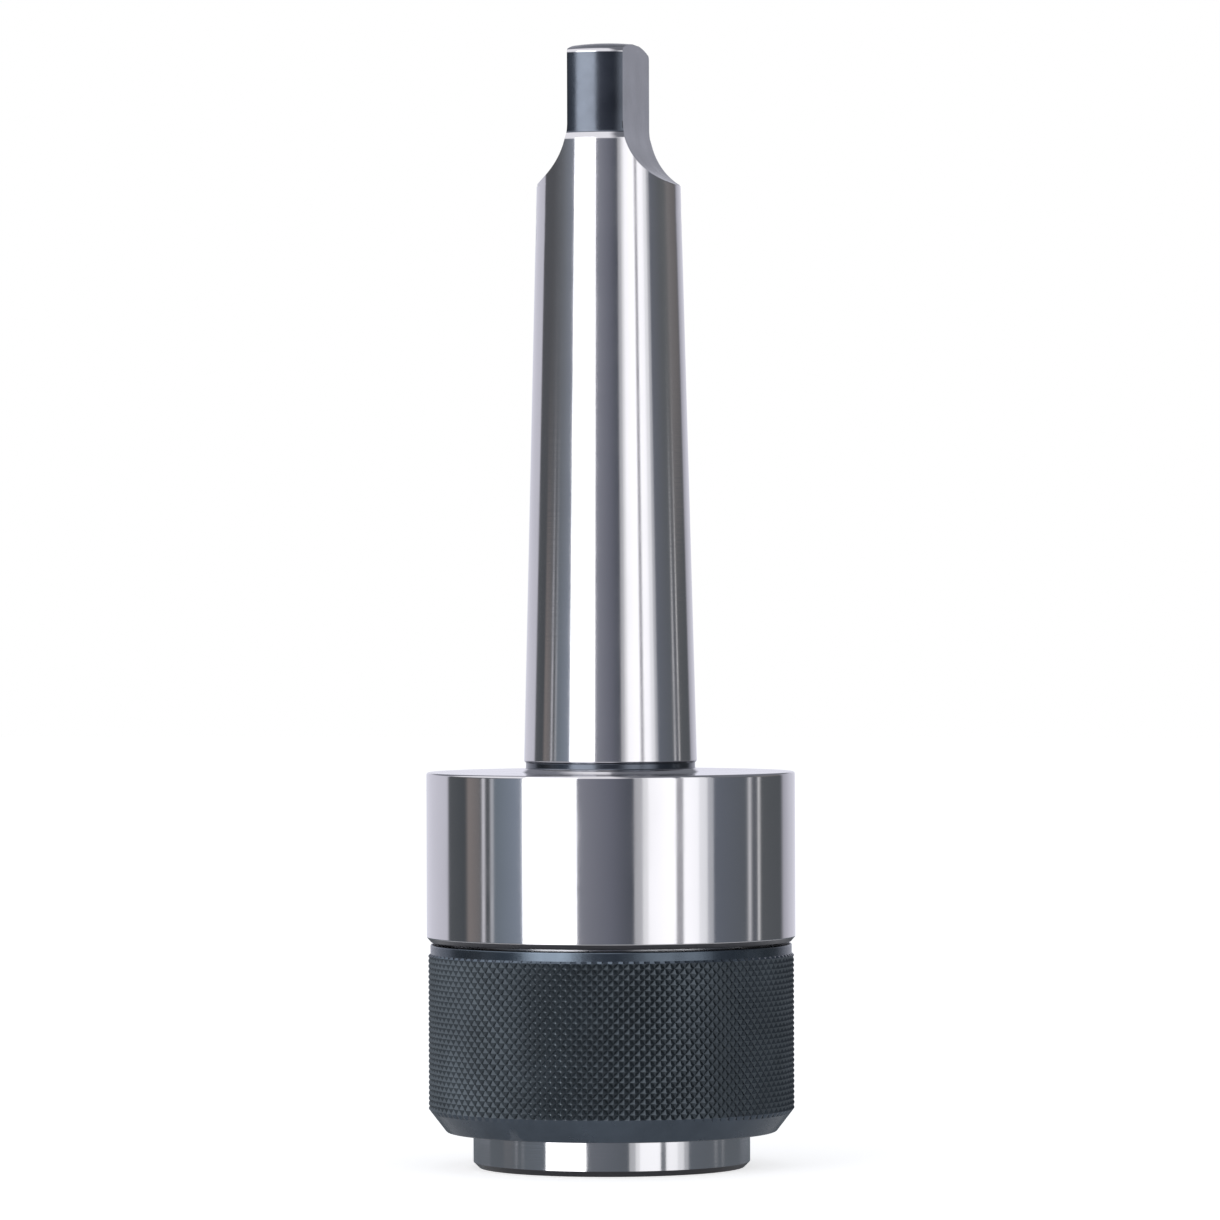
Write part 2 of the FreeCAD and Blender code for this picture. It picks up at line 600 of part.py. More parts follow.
def make_pieces():
    """Build every piece in its place and return them in a list."""
    washer_hole = "bolt_radius + washer_gap"
    coil = "(%s + %s) / 2" % (CUP, CHAMBER)
    pieces = [taper_shank(), housing(), guide_bush(), spindle(), float_bolt(), float_nut(), locking_sleeve()]
    pieces.append(ring("bolt_washer", washer_hole, "shank_bore_radius - head_gap / 2",
                       WASHER_BOTTOM, HEAD_BOTTOM))
    pieces.append(ring("lock_washer", washer_hole, NUT_RECESS + " - nut_room",
                       LOCK_WASHER_BOTTOM, FLOOR_BOTTOM))
    pieces.append(ring("nose_snap_ring", RING_GROOVE + " + running_gap", RING_GROOVE + " + ring_width",
                       RING_BOTTOM, SEAT_BOTTOM, "360 - ring_opening"))
    pieces.append(ring("spring_seat_ring", CUP, CHAMBER + " - seat_gap", SEAT_BOTTOM, SEAT_TOP))
    pieces.append(spring("float_spring", "(bolt_radius + shank_bore_radius) / 2", "float_wire_radius",
                         "float_pitch", BUSH_TOP, WASHER_BOTTOM))
    pieces.append(spring("sleeve_spring", coil, "sleeve_wire_radius", "sleeve_pitch", SEAT_TOP, CHAMBER_TOP))
    for index, angle in enumerate(DRIVE_BALL_ANGLES, start=1):
        pieces.append(ball("drive_ball_%d" % index, "drive_ball_radius", DRIVE_PITCH, DRIVE_BALL_HEIGHT, angle))
    for index, angle in enumerate(LOCK_BALL_ANGLES, start=1):
        pieces.append(ball("lock_ball_%d" % index, "lock_ball_radius", LOCK_PITCH, "lock_ball_height", angle))
    return pieces


def check_and_write(pieces):
    """Stop on any failed object or shape, then write each piece to its own file."""
    doc.recompute()
    for item in doc.Objects:
        if "Invalid" in item.State or "Error" in item.State:
            raise RuntimeError("failed object: " + item.Name)
    for piece in pieces:
        shape = piece.Shape
        if shape.isNull() or not shape.isValid() or len(shape.Solids) != 1:
            raise RuntimeError("bad shape: " + piece.Label)
    os.makedirs("parts", exist_ok=True)
    for piece in pieces:
        piece.Shape.exportStep(os.path.join("parts", piece.Label + ".step"))
        box = piece.Shape.BoundBox
        print("%-18s volume %9.1f  x %7.2f %7.2f  z %7.2f %7.2f"
              % (piece.Label, piece.Shape.Volume, box.XMin, box.XMax, box.ZMin, box.ZMax))


fill_sheet()
check_and_write(make_pieces())
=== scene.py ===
# %% [markdown]
# # A tapping chuck with a Morse taper shank
# The chuck is turned steel: a ground taper with a black tang, a polished housing, a black knurled
# sleeve and the bright nose of the spindle that floats inside. The measured solids come in first,
# as a frame that is never moved. Each visible piece is then worked out again as a finer surface,
# with rounded edges and a real knurl, in the same place and at the same size.

# %% Load the frame
import json
import math

import bmesh
import bpy
import numpy as np
from mathutils import Matrix


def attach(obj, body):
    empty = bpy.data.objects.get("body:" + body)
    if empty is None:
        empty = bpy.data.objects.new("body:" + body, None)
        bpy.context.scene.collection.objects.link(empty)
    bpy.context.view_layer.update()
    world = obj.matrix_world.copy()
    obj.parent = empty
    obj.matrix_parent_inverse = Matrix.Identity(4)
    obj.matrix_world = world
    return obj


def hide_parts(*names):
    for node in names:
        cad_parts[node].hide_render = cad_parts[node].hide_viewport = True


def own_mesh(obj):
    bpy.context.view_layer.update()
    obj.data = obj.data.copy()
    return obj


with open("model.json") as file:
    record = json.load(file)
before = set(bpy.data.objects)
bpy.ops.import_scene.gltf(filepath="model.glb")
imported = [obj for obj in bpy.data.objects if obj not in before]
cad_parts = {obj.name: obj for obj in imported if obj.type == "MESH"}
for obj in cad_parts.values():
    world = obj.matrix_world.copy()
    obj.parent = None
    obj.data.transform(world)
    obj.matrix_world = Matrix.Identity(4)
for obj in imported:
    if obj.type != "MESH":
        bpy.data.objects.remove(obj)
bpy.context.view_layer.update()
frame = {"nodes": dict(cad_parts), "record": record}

MM = 0.001
MERGE_DISTANCE = 2e-7


# %% [markdown]
# ## Surfaces of revolution
# Almost every piece is a profile turned about the upright axis. A corner cut by a lathe is never
# perfectly sharp, and the tiny round on it is what catches the light. So a profile is given as
# corners with a radius each, and every corner becomes a short arc. A point just before and just
# after each arc keeps the flat faces flat when the shading is smoothed. Spinning an edge with a
# modifier would also work, but an array of points is exact and easy to bend into other shapes.

# %% Round the corners of a profile
ARC_STEPS = 5
HOLD_SHARE = 0.15


def rounded(corners):
    """Turn rows of radius, height and corner size into a smooth profile.

    Each corner with a size becomes a quadratic curve: (1-t)^2 times the point before it, plus
    2t(1-t) times the corner, plus t^2 times the point after it, for t from 0 to 1.
    """
    points = np.array([row[:2] for row in corners], float)
    sizes = np.array([row[2] for row in corners], float)
    out = []
    t = np.linspace(0, 1, ARC_STEPS + 1)[:, None]
    for i in range(len(points)):
        here = points[i]
        if sizes[i] == 0 or i in (0, len(points) - 1):
            out.append(here[None])
            continue
        back = points[i - 1] - here
        ahead = points[i + 1] - here
        back /= np.linalg.norm(back)
        ahead /= np.linalg.norm(ahead)
        before = here + back * sizes[i]
        after = here + ahead * sizes[i]
        arc = (1 - t) ** 2 * before + 2 * t * (1 - t) * here + t ** 2 * after
        hold = HOLD_SHARE * sizes[i]
        out.append(np.vstack([before + back * hold, arc, after + ahead * hold]))
    return np.vstack(out)


# %% Turn a grid of points into a mesh
def grid_faces(rows, columns):
    """Quads between neighbouring rows of a grid that closes on itself sideways."""
    i, j = np.meshgrid(np.arange(rows - 1), np.arange(columns), indexing="ij")
    k = (j + 1) % columns
    quads = [i * columns + j, i * columns + k, (i + 1) * columns + k, (i + 1) * columns + j]
    return np.stack(quads, axis=-1).reshape(-1, 4)


def count_open_edges(mesh):
    """How many edges don't have exactly two faces."""
    uses = np.zeros(len(mesh.edges), int)
    loops = np.empty(len(mesh.loops), int)
    mesh.loops.foreach_get("edge_index", loops)
    np.add.at(uses, loops, 1)
    return int((uses != 2).sum())


def make_piece(name, points, faces, sharp_angle=32):
    """Build a mesh from an array of points in millimetres and lists of corner numbers.

    Edges that bend by more than the sharp angle, in degrees, stay sharp.
    """
    mesh = bpy.data.meshes.new(name)
    corners = [list(map(int, face)) for face in faces]
    mesh.from_pydata((np.asarray(points, float) * MM).tolist(), [], corners)
    work = bmesh.new()
    work.from_mesh(mesh)
    bmesh.ops.remove_doubles(work, verts=work.verts, dist=MERGE_DISTANCE)
    bmesh.ops.dissolve_degenerate(work, edges=work.edges, dist=MERGE_DISTANCE / 2)
    bmesh.ops.recalc_face_normals(work, faces=work.faces)
    work.to_mesh(mesh)
    work.free()
    mesh.shade_smooth()
    mesh.set_sharp_from_angle(angle=math.radians(sharp_angle))
    piece = bpy.data.objects.new(name, mesh)
    bpy.context.scene.collection.objects.link(piece)
    open_edges = count_open_edges(mesh)
    print(name, "has", len(mesh.polygons), "faces and", open_edges, "open edges")
    return piece


def turned_points(profile, angles):
    """Carry a profile round the axis: x = r cos a, y = r sin a, z = height."""
    radius = profile[:, 0][:, None]
    height = np.repeat(profile[:, 1][:, None], len(angles), axis=1)
    return np.stack([radius * np.cos(angles), radius * np.sin(angles), height], axis=-1)


# %% [markdown]
# ## The ground taper and its tang
# The shank is a Morse taper number 3. Its upper end is milled flat on two sides to make the tang,
# and the round cutter leaves a hollow curve where each flat runs out. A boolean cut would leave
# ragged rows, so the milling is done in the formula instead: each row of the turned surface is
# squeezed to the tang's thickness at its height. The columns slide along so that one of them
# always lies on the edge between flat and round.

# %% Sizes of the shank
TANG_TOP = 156.55
TANG_CROWN = 1.1
TANG_EDGE = 0.55
TAPER_TOP = 143.05
TAPER_BOTTOM = 56.6
TAPER_RADIUS = 12.05
TAPER_RATE = 0.0251
TANG_RADIUS = 9.5
TANG_HALF = 3.95
FLAT_END = 145.2
RUNOUT = 9.0
HOUSING_TOP = 55.05
CEILING = 49.0
SPIGOT = 10.6
NECK = 11.8
FLARE = 12.4
TANG_STEP, FLARE_RISE = 0.7, 0.55
BUSH = 8.0
BUSH_TOP = 56.6
BORE = 7.0
BORE_TOP = 103.0
DRILL_POINT = 107.0
MILLED_FROM = 136.0
BLEND_FROM, BLEND_TO = 128.0, 134.0
OUTER_FROM, EXTRA_FROM = 60.0, 100.0
FLAT_COLUMNS, ROUND_COLUMNS = 28, 92
DOME_ROWS, RUNOUT_ROWS = 9, 36
taper_end = TAPER_RADIUS - TAPER_RATE * (TAPER_TOP - TAPER_BOTTOM)
print("radius at the upper end of the taper:", round(taper_end, 3), "mm")


# %% The tang's thickness at each height
NOT_MILLED = 99.0


def half_thickness(height):
    """Half the distance across the flats: the straight part, then a quarter circle outwards.

    Below the straight part it is the half thickness plus the cutter's radius, minus the root of
    the radius squared less the drop squared. Below the quarter circle it is wider than the shank.
    """
    drop = np.clip(FLAT_END - height, 0, RUNOUT)
    curve = TANG_HALF + RUNOUT - np.sqrt(RUNOUT ** 2 - drop ** 2)
    return np.where(height < FLAT_END - RUNOUT, NOT_MILLED, curve)


def shank_angles(radius, height):
    """Angles of each row: even steps on each flat, even steps on each round end.

    A flat spans the angles whose cosine is more than its half thickness over the radius. Lower
    down the columns go over, between two heights, to even steps all round.
    """
    share = np.clip(half_thickness(height) / np.maximum(radius, 1e-6), 0, 1)
    edge = np.arccos(share)
    even = math.pi * FLAT_COLUMNS / (FLAT_COLUMNS + ROUND_COLUMNS) / 2
    blend = np.clip((height - BLEND_FROM) / (BLEND_TO - BLEND_FROM), 0, 1)
    edge = np.where(height > BLEND_TO, edge, even * (1 - blend) + edge * blend)
    u = np.linspace(-1, 1, FLAT_COLUMNS, endpoint=False)[None] * edge[:, None]
    v = np.linspace(0, 1, ROUND_COLUMNS, endpoint=False)[None]
    v = edge[:, None] + v * (math.pi - 2 * edge)[:, None]
    return np.concatenate([u, v, u + math.pi, v + math.pi], axis=1)


# %% Build the shank
runout_heights = np.linspace(MILLED_FROM + 0.4, FLAT_END, RUNOUT_ROWS)
dome_reach = (TANG_RADIUS - TANG_EDGE) * np.linspace(0, 1, DOME_ROWS)
dome = [(r, TANG_TOP - TANG_CROWN * (r / dome_reach[-1]) ** 2, 0) for r in dome_reach]
blend_heights = (BLEND_TO, (BLEND_FROM + BLEND_TO) / 2, BLEND_FROM)
shank_profile = rounded([
    *dome, (TANG_RADIUS, TANG_TOP - TANG_CROWN - 0.12, TANG_EDGE * 0.95),
    (TANG_RADIUS, TAPER_TOP + TANG_STEP, 0.3), (taper_end, TAPER_TOP, 0.3),
    *((TAPER_RADIUS - TAPER_RATE * (z - TAPER_BOTTOM), z, 0) for z in blend_heights),
    (TAPER_RADIUS, TAPER_BOTTOM, 0.12), (NECK, TAPER_BOTTOM - 0.25, 0.1),
    (NECK, HOUSING_TOP + FLARE_RISE, 0.15), (FLARE, HOUSING_TOP, 0), (SPIGOT, HOUSING_TOP, 0),
    (SPIGOT, CEILING, 0), (BUSH, CEILING, 0), (BUSH, BUSH_TOP, 0), (BORE, BUSH_TOP, 0),
    (BORE, BORE_TOP, 0), (0.0, DRILL_POINT, 0),
])


def add_rows(profile, heights, lowest):
    """Put extra rows into the part of a profile that is above a height, and sort it downwards."""
    upper = profile[profile[:, 1] > lowest]
    radii = np.interp(heights, upper[::-1, 1], upper[::-1, 0])
    merged = np.vstack([upper, np.stack([radii, heights], axis=1)])
    merged = merged[np.argsort(-merged[:, 1])]
    return np.vstack([merged, profile[profile[:, 1] <= lowest]])


outer_count = int(np.argmax(shank_profile[:, 1] < OUTER_FROM))
outer = add_rows(shank_profile[:outer_count], runout_heights, EXTRA_FROM)
profile = np.vstack([outer, shank_profile[outer_count:]])
radius, height = profile[:, 0], profile[:, 1]
is_outer = np.arange(len(profile)) < len(outer)
angles = shank_angles(np.where(is_outer, radius, 1.0), np.where(is_outer, height, 0.0))
x = radius[:, None] * np.cos(angles)
y = radius[:, None] * np.sin(angles)
limit = np.where(is_outer, half_thickness(height), NOT_MILLED)[:, None]
x = np.clip(x, -limit, limit)
z = np.repeat(height[:, None], angles.shape[1], axis=1)
shank = make_piece("taper_shank_ground", np.stack([x, y, z], axis=-1).reshape(-1, 3),
                   grid_faces(len(profile), angles.shape[1]), 28)


# %% Exact shading of the shank
NEAR_FLAT, NEAR_ROUND = 0.04, 0.1


def face_centres(mesh):
    """Centres of all faces in millimetres."""
    centres = np.empty(len(mesh.polygons) * 3)
    mesh.polygons.foreach_get("center", centres)
    return centres.reshape(-1, 3) / MM


def shank_normals(mesh):
    """Give the taper, the tang's rounds and the flats the normals of their formulas.

    The columns slide where a flat runs out, and averaged normals would bend the reflections there.
    A cone's normal points outwards and up by its slope. In the run-out it points at the cutter's
    centre, and on the straight of a flat it is square to the flat.
    """
    corners = len(mesh.loops)
    normals = np.empty(corners * 3, np.float32)
    mesh.corner_normals.foreach_get("vector", normals)
    normals = normals.reshape(-1, 3).astype(float)
    vertex = np.empty(corners, int)
    mesh.loops.foreach_get("vertex_index", vertex)
    points = np.empty(len(mesh.vertices) * 3)
    mesh.vertices.foreach_get("co", points)
    place = points.reshape(-1, 3)[vertex] / MM
    counts = np.empty(len(mesh.polygons), int)
    mesh.polygons.foreach_get("loop_total", counts)
    middle = np.repeat(face_centres(mesh), counts, axis=0)
    height = middle[:, 2]
    reach = np.hypot(middle[:, 0], middle[:, 1])
    cone = TAPER_RADIUS - TAPER_RATE * (height - TAPER_BOTTOM)
    below_edge = height < TANG_TOP - TANG_CROWN - TANG_EDGE
    flat = (height > MILLED_FROM) & below_edge
    flat &= np.abs(np.abs(middle[:, 0]) - half_thickness(height)) < NEAR_FLAT
    on_cone = (height > TAPER_BOTTOM + 0.3) & (height < TAPER_TOP - 0.4)
    on_cone &= (reach > cone - NEAR_ROUND) & ~flat
    on_round = (height > TAPER_TOP + 1.0) & below_edge & (reach > TANG_RADIUS - NEAR_ROUND) & ~flat
    outward = np.stack([place[:, 0], place[:, 1], 0 * place[:, 0]], axis=1)
    outward /= np.maximum(np.linalg.norm(outward, axis=1), 1e-9)[:, None]
    normals[on_round] = outward[on_round]
    normals[on_cone] = outward[on_cone] + np.array([0, 0, TAPER_RATE])
    side = np.sign(middle[:, 0])
    to_centre = np.stack([side * (TANG_HALF + RUNOUT) - place[:, 0], 0 * side,
                          np.minimum(FLAT_END - place[:, 2], RUNOUT)], axis=1)
    straight = place[:, 2] >= FLAT_END
    to_centre[straight] = np.stack([side, 0 * side, 0 * side], axis=1)[straight]
    normals[flat] = to_centre[flat]
    normals /= np.linalg.norm(normals, axis=1)[:, None]
    mesh.normals_split_custom_set(normals.tolist())
    print("corners shaded by formula:", int(on_cone.sum() + on_round.sum() + flat.sum()), "of", corners)


shank_normals(shank.data)
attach(shank, "shank")
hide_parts("taper_shank")

# %% [markdown]
# ## The polished housing
# Outside it is a plain cylinder with a broken edge above and a small chamfer below. Inside is the
# cup in which the spindle floats, with four round grooves for the driving balls. They show only
# when the spindle is drawn out. A groove is the part of a circle that lies beyond the cup's wall,
# so the inner radius is simply the larger of the two at each angle.

# %% Build the housing
HOUSING = 25.7
HOUSING_BOTTOM = 31.4
CHAMFER_FROM = HOUSING_BOTTOM + 0.7
SKIRT = 22.7
SKIRT_BOTTOM = 26.4
CUP = 19.35
GROOVE_RADIUS = 3.03
GROOVE_PITCH = 18.6
GROOVE_TOP = 47.2
HOUSING_COLUMNS = 320


def cup_radius(angles):
    """Inner radius: the cup's own, or c cos a + root(g^2 - c^2 sin^2 a) in a groove."""
    a = (angles + math.pi / 4) % (math.pi / 2) - math.pi / 4
    inside = GROOVE_RADIUS ** 2 - (GROOVE_PITCH * np.sin(a)) ** 2
    groove = GROOVE_PITCH * np.cos(a) + np.sqrt(np.maximum(inside, 0))
    return np.where(inside > 0, np.maximum(groove, CUP), CUP)


# The row at the top of the grooves is there twice: the first follows them, the second is round.
housing_profile = rounded([
    (SPIGOT, HOUSING_TOP, 0), (HOUSING, HOUSING_TOP, 0.4), (HOUSING, CHAMFER_FROM, 0.08),
    (HOUSING - 0.6, HOUSING_BOTTOM, 0.08), (SKIRT, HOUSING_BOTTOM, 0.1), (SKIRT, SKIRT_BOTTOM, 0.35),
    (CUP, SKIRT_BOTTOM, 0), (CUP, GROOVE_TOP, 0), (CUP, GROOVE_TOP, 0), (CUP, CEILING, 0),
    (SPIGOT, CEILING, 0), (SPIGOT, HOUSING_TOP, 0),
])
ring_angles = np.linspace(0, 2 * np.pi, HOUSING_COLUMNS, endpoint=False)
housing_grid = turned_points(housing_profile, ring_angles)
on_cup = (np.abs(housing_profile[:, 0] - CUP) < 1e-9) & (housing_profile[:, 1] < CEILING - 1)
grooved_rows = np.flatnonzero(on_cup)[:-1]
inner = cup_radius(ring_angles)
housing_grid[grooved_rows, :, 0] = inner * np.cos(ring_angles)
housing_grid[grooved_rows, :, 1] = inner * np.sin(ring_angles)
housing = make_piece("housing_polished", housing_grid.reshape(-1, 3),
                     grid_faces(len(housing_profile), len(ring_angles)))
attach(housing, "shank")
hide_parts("housing")

# %% [markdown]
# ## The knurled sleeve
# A diamond knurl is two sets of V grooves that cross at forty-five degrees and leave rows of small
# pyramids. A bump texture would keep a smooth outline, and the real sleeve has a toothed one. So
# each pyramid is real: four points at the crossings of the grooves, and a small worn square on
# top. Counted on the photograph, there are 110 round the sleeve and their rows are 0.73 mm apart.

# %% The lattice of the knurl
KNURL_COUNT = 110
KNURL_ROWS = 29
KNURL_BOTTOM = 8.2
KNURL_TOP = 29.5
CREST = 25.5
VALLEY = 25.14
WORN = 0.15
SLEEVE_BOTTOM = 4.95
SLEEVE_TOP = 31.1
row_step = (KNURL_TOP - KNURL_BOTTOM) / KNURL_ROWS
pitch_angle = 2 * math.pi / KNURL_COUNT
print("knurl pitch round the sleeve:", round(CREST * pitch_angle, 3), "mm")
print("height of one row:", round(row_step, 3), "mm")


def lattice(row, turn, radius):
    """Points at a radius, at whole or part rows and at turns counted in pitches."""
    angle = np.asarray(turn) * pitch_angle
    height = KNURL_BOTTOM + np.asarray(row) * row_step
    return np.stack([radius * np.cos(angle), radius * np.sin(angle), height + 0 * angle], axis=-1)


# %% The pyramids
def knurl_cells():
    """Corners and faces of every pyramid: groove crossings left, below, right and above its centre.

    The worn square on top lies a small share of the way from the centre to each crossing.
    """
    rows, columns = np.meshgrid(np.arange(KNURL_ROWS + 1), np.arange(KNURL_COUNT), indexing="ij")
    rows, columns = rows.ravel(), columns.ravel()
    centre = columns + 0.5 * (rows % 2)
    steps = [(-1, 0), (0, -1), (1, 0), (0, 1)]
    low = [lattice(rows + dz, centre + 0.5 * dx, VALLEY) for dx, dz in steps]
    top = [lattice(rows + WORN * dz, centre + 0.5 * WORN * dx, CREST) for dx, dz in steps]
    points = np.stack(low + top, axis=1)
    start = (np.arange(len(rows)) * 8)[:, None]
    sides = [[0, 1, 5, 4], [1, 2, 6, 5], [2, 3, 7, 6], [3, 0, 4, 7], [4, 5, 6, 7]]
    whole = (rows > 0) & (rows < KNURL_ROWS)
    faces = [start[whole] + np.array(side) for side in sides]
    first, last = rows == 0, rows == KNURL_ROWS
    faces += [start[first] + np.array(side) for side in ([2, 3, 7, 6], [3, 0, 4, 7])]
    faces += [start[last] + np.array(side) for side in ([0, 1, 5, 4], [1, 2, 6, 5])]
    caps = [start[first] + np.array([4, 6, 7]), start[last] + np.array([4, 5, 6])]
    return points.reshape(-1, 3), [list(face) for block in faces + caps for face in block]


def edge_turns(shift):
    """Turns of one ring that meets the knurl: crossing, then both sides of a worn square."""
    base = np.arange(KNURL_COUNT)[:, None] + shift
    return (base + np.array([-0.5, -0.5 * WORN, 0.5 * WORN])).ravel()


# %% The rest of the sleeve
RIM, RIM_BOTTOM = 25.2, 29.8
MOUTH, MOUTH_END = 23.0, 25.6
CONE = 21.9
LAND, LAND_TOP, LAND_BOTTOM = 19.35, 17.7, 15.2
SPRING_ROOM, SPRING_ROOM_TOP = 21.8, 14.9
FOOT = 23.0
CHAMFER, CHAMFER_TOP = 25.06, 7.62
CHAMFER_ROWS = (FOOT + 0.45, CHAMFER - 0.31)


def on_chamfer(radius_here):
    """A corner on the lower chamfer, which runs straight from the foot to the knurl."""
    share = (radius_here - FOOT) / (CHAMFER - FOOT)
    return (radius_here, SLEEVE_BOTTOM + share * (CHAMFER_TOP - SLEEVE_BOTTOM), 0)


# Two more rows on the chamfer keep the worn look of its edges from spreading over the whole face.
plain = rounded([
    (RIM, RIM_BOTTOM, 0), (RIM, SLEEVE_TOP, 0.25), (MOUTH, SLEEVE_TOP, 0.2), (MOUTH, MOUTH_END, 0),
    (CONE, MOUTH_END, 0), (LAND, LAND_TOP, 0), (LAND, LAND_BOTTOM, 0),
    (LAND + 0.3, SPRING_ROOM_TOP, 0), (SPRING_ROOM, SPRING_ROOM_TOP, 0),
    (SPRING_ROOM, SLEEVE_BOTTOM, 0.15), (FOOT, SLEEVE_BOTTOM, 0.25),
    *map(on_chamfer, CHAMFER_ROWS), (CHAMFER, CHAMFER_TOP, 0),
])
# The upper end of the knurl is half a pitch ahead of the lower end, so the rings turn in between.
TWIST_FROM, TWIST_TO = 16.0, 25.0
shifts = np.interp(plain[:, 1], [TWIST_FROM, TWIST_TO], [0.0, 0.5])
shifts[:int(np.argmax(plain[:, 0] < MOUTH + 0.1))] = 0.5
shifts[len(plain) - int(np.argmax(plain[::-1, 0] < SPRING_ROOM + 0.2)):] = 0.0
toothed = np.tile([VALLEY, CREST, CREST], KNURL_COUNT)


def sleeve_ring(radius_here, height_here, shift):
    """One ring of the sleeve at a height, turned by a share of a pitch."""
    angle = edge_turns(shift) * pitch_angle
    return np.stack([radius_here * np.cos(angle), radius_here * np.sin(angle),
                     np.full(len(angle), height_here)], axis=-1)


def sleeve_rings():
    """Every ring of the plain part, between the two toothed rings at the ends of the knurl."""
    upper = sleeve_ring(toothed, KNURL_TOP, 0.5)
    lower = sleeve_ring(toothed, KNURL_BOTTOM, 0.0)
    return np.array([upper, *(sleeve_ring(*row, shift) for row, shift in zip(plain, shifts)), lower])


cells, cell_faces = knurl_cells()
rings = sleeve_rings()
ring_faces = grid_faces(rings.shape[0], rings.shape[1]) + len(cells)
sleeve = make_piece("knurled_sleeve", np.vstack([cells, rings.reshape(-1, 3)]),
                    cell_faces + ring_faces.tolist(), 20)
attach(sleeve, "sleeve")
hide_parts("locking_sleeve")

# %% [markdown]
# ## The two springs
# Each spring is a round wire wound as a helix, with its end turns closed up and ground flat. The
# wire is a circle carried along the helix, square to it. The pitch is small in the end turns and
# wide between them, so the height is a smooth function of the turn.


# %% Wind a spring
CLOSED_TURNS = 0.9
CLOSED_SHARE = 0.98
SMOOTHING = 25


def coil_heights(turns, bottom, top, wire):
    """Height of the wire's centre along the coil: slow at the ends, even in the middle.

    The speed is the wire's thickness per turn in the closed ends and what is left in the middle.
    A running mean softens the change, and the sum is scaled to end exactly at the top.
    """
    closed = 2 * wire * CLOSED_SHARE
    speed = np.where((turns < CLOSED_TURNS) | (turns > turns[-1] - CLOSED_TURNS), closed, 1.0)
    middle = speed == 1.0
    step = turns[1] - turns[0]
    room = top - bottom - 2 * wire - closed * (~middle).sum() * step
    speed = np.where(middle, room / (middle.sum() * step), speed)
    kernel = np.ones(SMOOTHING) / SMOOTHING
    speed = np.convolve(np.pad(speed, SMOOTHING // 2, mode="edge"), kernel, mode="valid")
    heights = np.concatenate([[0], np.cumsum((speed[1:] + speed[:-1]) / 2) * step])
    heights *= (top - bottom - 2 * wire) / heights[-1]
    return bottom + wire + heights


def spring_piece(name, coil, wire, count, bottom, top, steps_per_turn=48, sides=14):
    """A round wire along a helix: centre plus wire times (normal cos b + binormal sin b).

    The coil and the wire are given as radii. Points past either end are cut flat there.
    """
    turns = np.linspace(0, count, int(count * steps_per_turn) + 1)
    angle = 2 * math.pi * turns
    height = coil_heights(turns, bottom, top, wire)
    centre = np.stack([coil * np.cos(angle), coil * np.sin(angle), height], axis=-1)
    tangent = np.gradient(centre, axis=0)
    tangent /= np.linalg.norm(tangent, axis=1)[:, None]
    normal = np.stack([np.cos(angle), np.sin(angle), 0 * angle], axis=-1)
    binormal = np.cross(tangent, normal)
    b = np.linspace(0, 2 * math.pi, sides, endpoint=False)[None, :, None]
    tube = centre[:, None] + wire * (normal[:, None] * np.cos(b) + binormal[:, None] * np.sin(b))
    tube[..., 2] = np.clip(tube[..., 2], bottom, top)
    faces = grid_faces(len(turns), sides).tolist()
    last = (len(turns) - 1) * sides
    faces += [list(range(sides))[::-1], [last + k for k in range(sides)]]
    return make_piece(name, tube.reshape(-1, 3), faces, 45)


# %% The float spring
FLOAT_COIL, FLOAT_WIRE, FLOAT_TURNS = 5.5, 0.9, 9.0
FLOAT_LENGTH, FLOAT_TRAVEL = 34.2, 10.0
float_spring = spring_piece("float_spring_wound", FLOAT_COIL, FLOAT_WIRE, FLOAT_TURNS,
                            BUSH_TOP, BUSH_TOP + FLOAT_LENGTH)
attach(float_spring, "shank")
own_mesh(float_spring)
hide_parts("float_spring")

# %% The sleeve spring
SLEEVE_COIL, SLEEVE_WIRE, SLEEVE_TURNS = 20.575, 0.62, 3.0
SEAT_TOP = 7.3
sleeve_spring = spring_piece("sleeve_spring_wound", SLEEVE_COIL, SLEEVE_WIRE, SLEEVE_TURNS,
                             SEAT_TOP, SPRING_ROOM_TOP, steps_per_turn=120)
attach(sleeve_spring, "spindle")
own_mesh(sleeve_spring)
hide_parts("sleeve_spring")

# %% [markdown]
# ## The spindle and its small parts
# The spindle has keyways, ball holes and a ring groove that a formula would repeat without
# improving, so its measured solid is kept as the shape. The solid arrives as loose triangles: a
# copy has its doubles merged, and its edges are marked sharp by angle so that round walls shade
# smoothly. The same is done for the ring, nut, bolt and balls.


# %% Smooth copies of measured solids
def smooth_copy(node, name, body, sharp_angle=25):
    """Copy a solid's mesh, merge its doubles and shade it smooth between sharp edges."""
    mesh = frame["nodes"][node].data.copy()
    mesh.name = name
    work = bmesh.new()
    work.from_mesh(mesh)
    bmesh.ops.remove_doubles(work, verts=work.verts, dist=MERGE_DISTANCE)
    bmesh.ops.dissolve_limit(work, angle_limit=math.radians(0.2), verts=work.verts, edges=work.edges)
    bmesh.ops.recalc_face_normals(work, faces=work.faces)
    work.to_mesh(mesh)
    work.free()
    if mesh.attributes.get("custom_normal"):
        mesh.attributes.remove(mesh.attributes["custom_normal"])
    mesh.shade_smooth()
    mesh.set_sharp_from_angle(angle=math.radians(sharp_angle))
    piece = bpy.data.objects.new(name, mesh)
    bpy.context.scene.collection.objects.link(piece)
    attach(piece, body)
    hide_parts(node)
    print(name, "has", len(mesh.polygons), "faces and", count_open_edges(mesh), "open edges")
    return piece


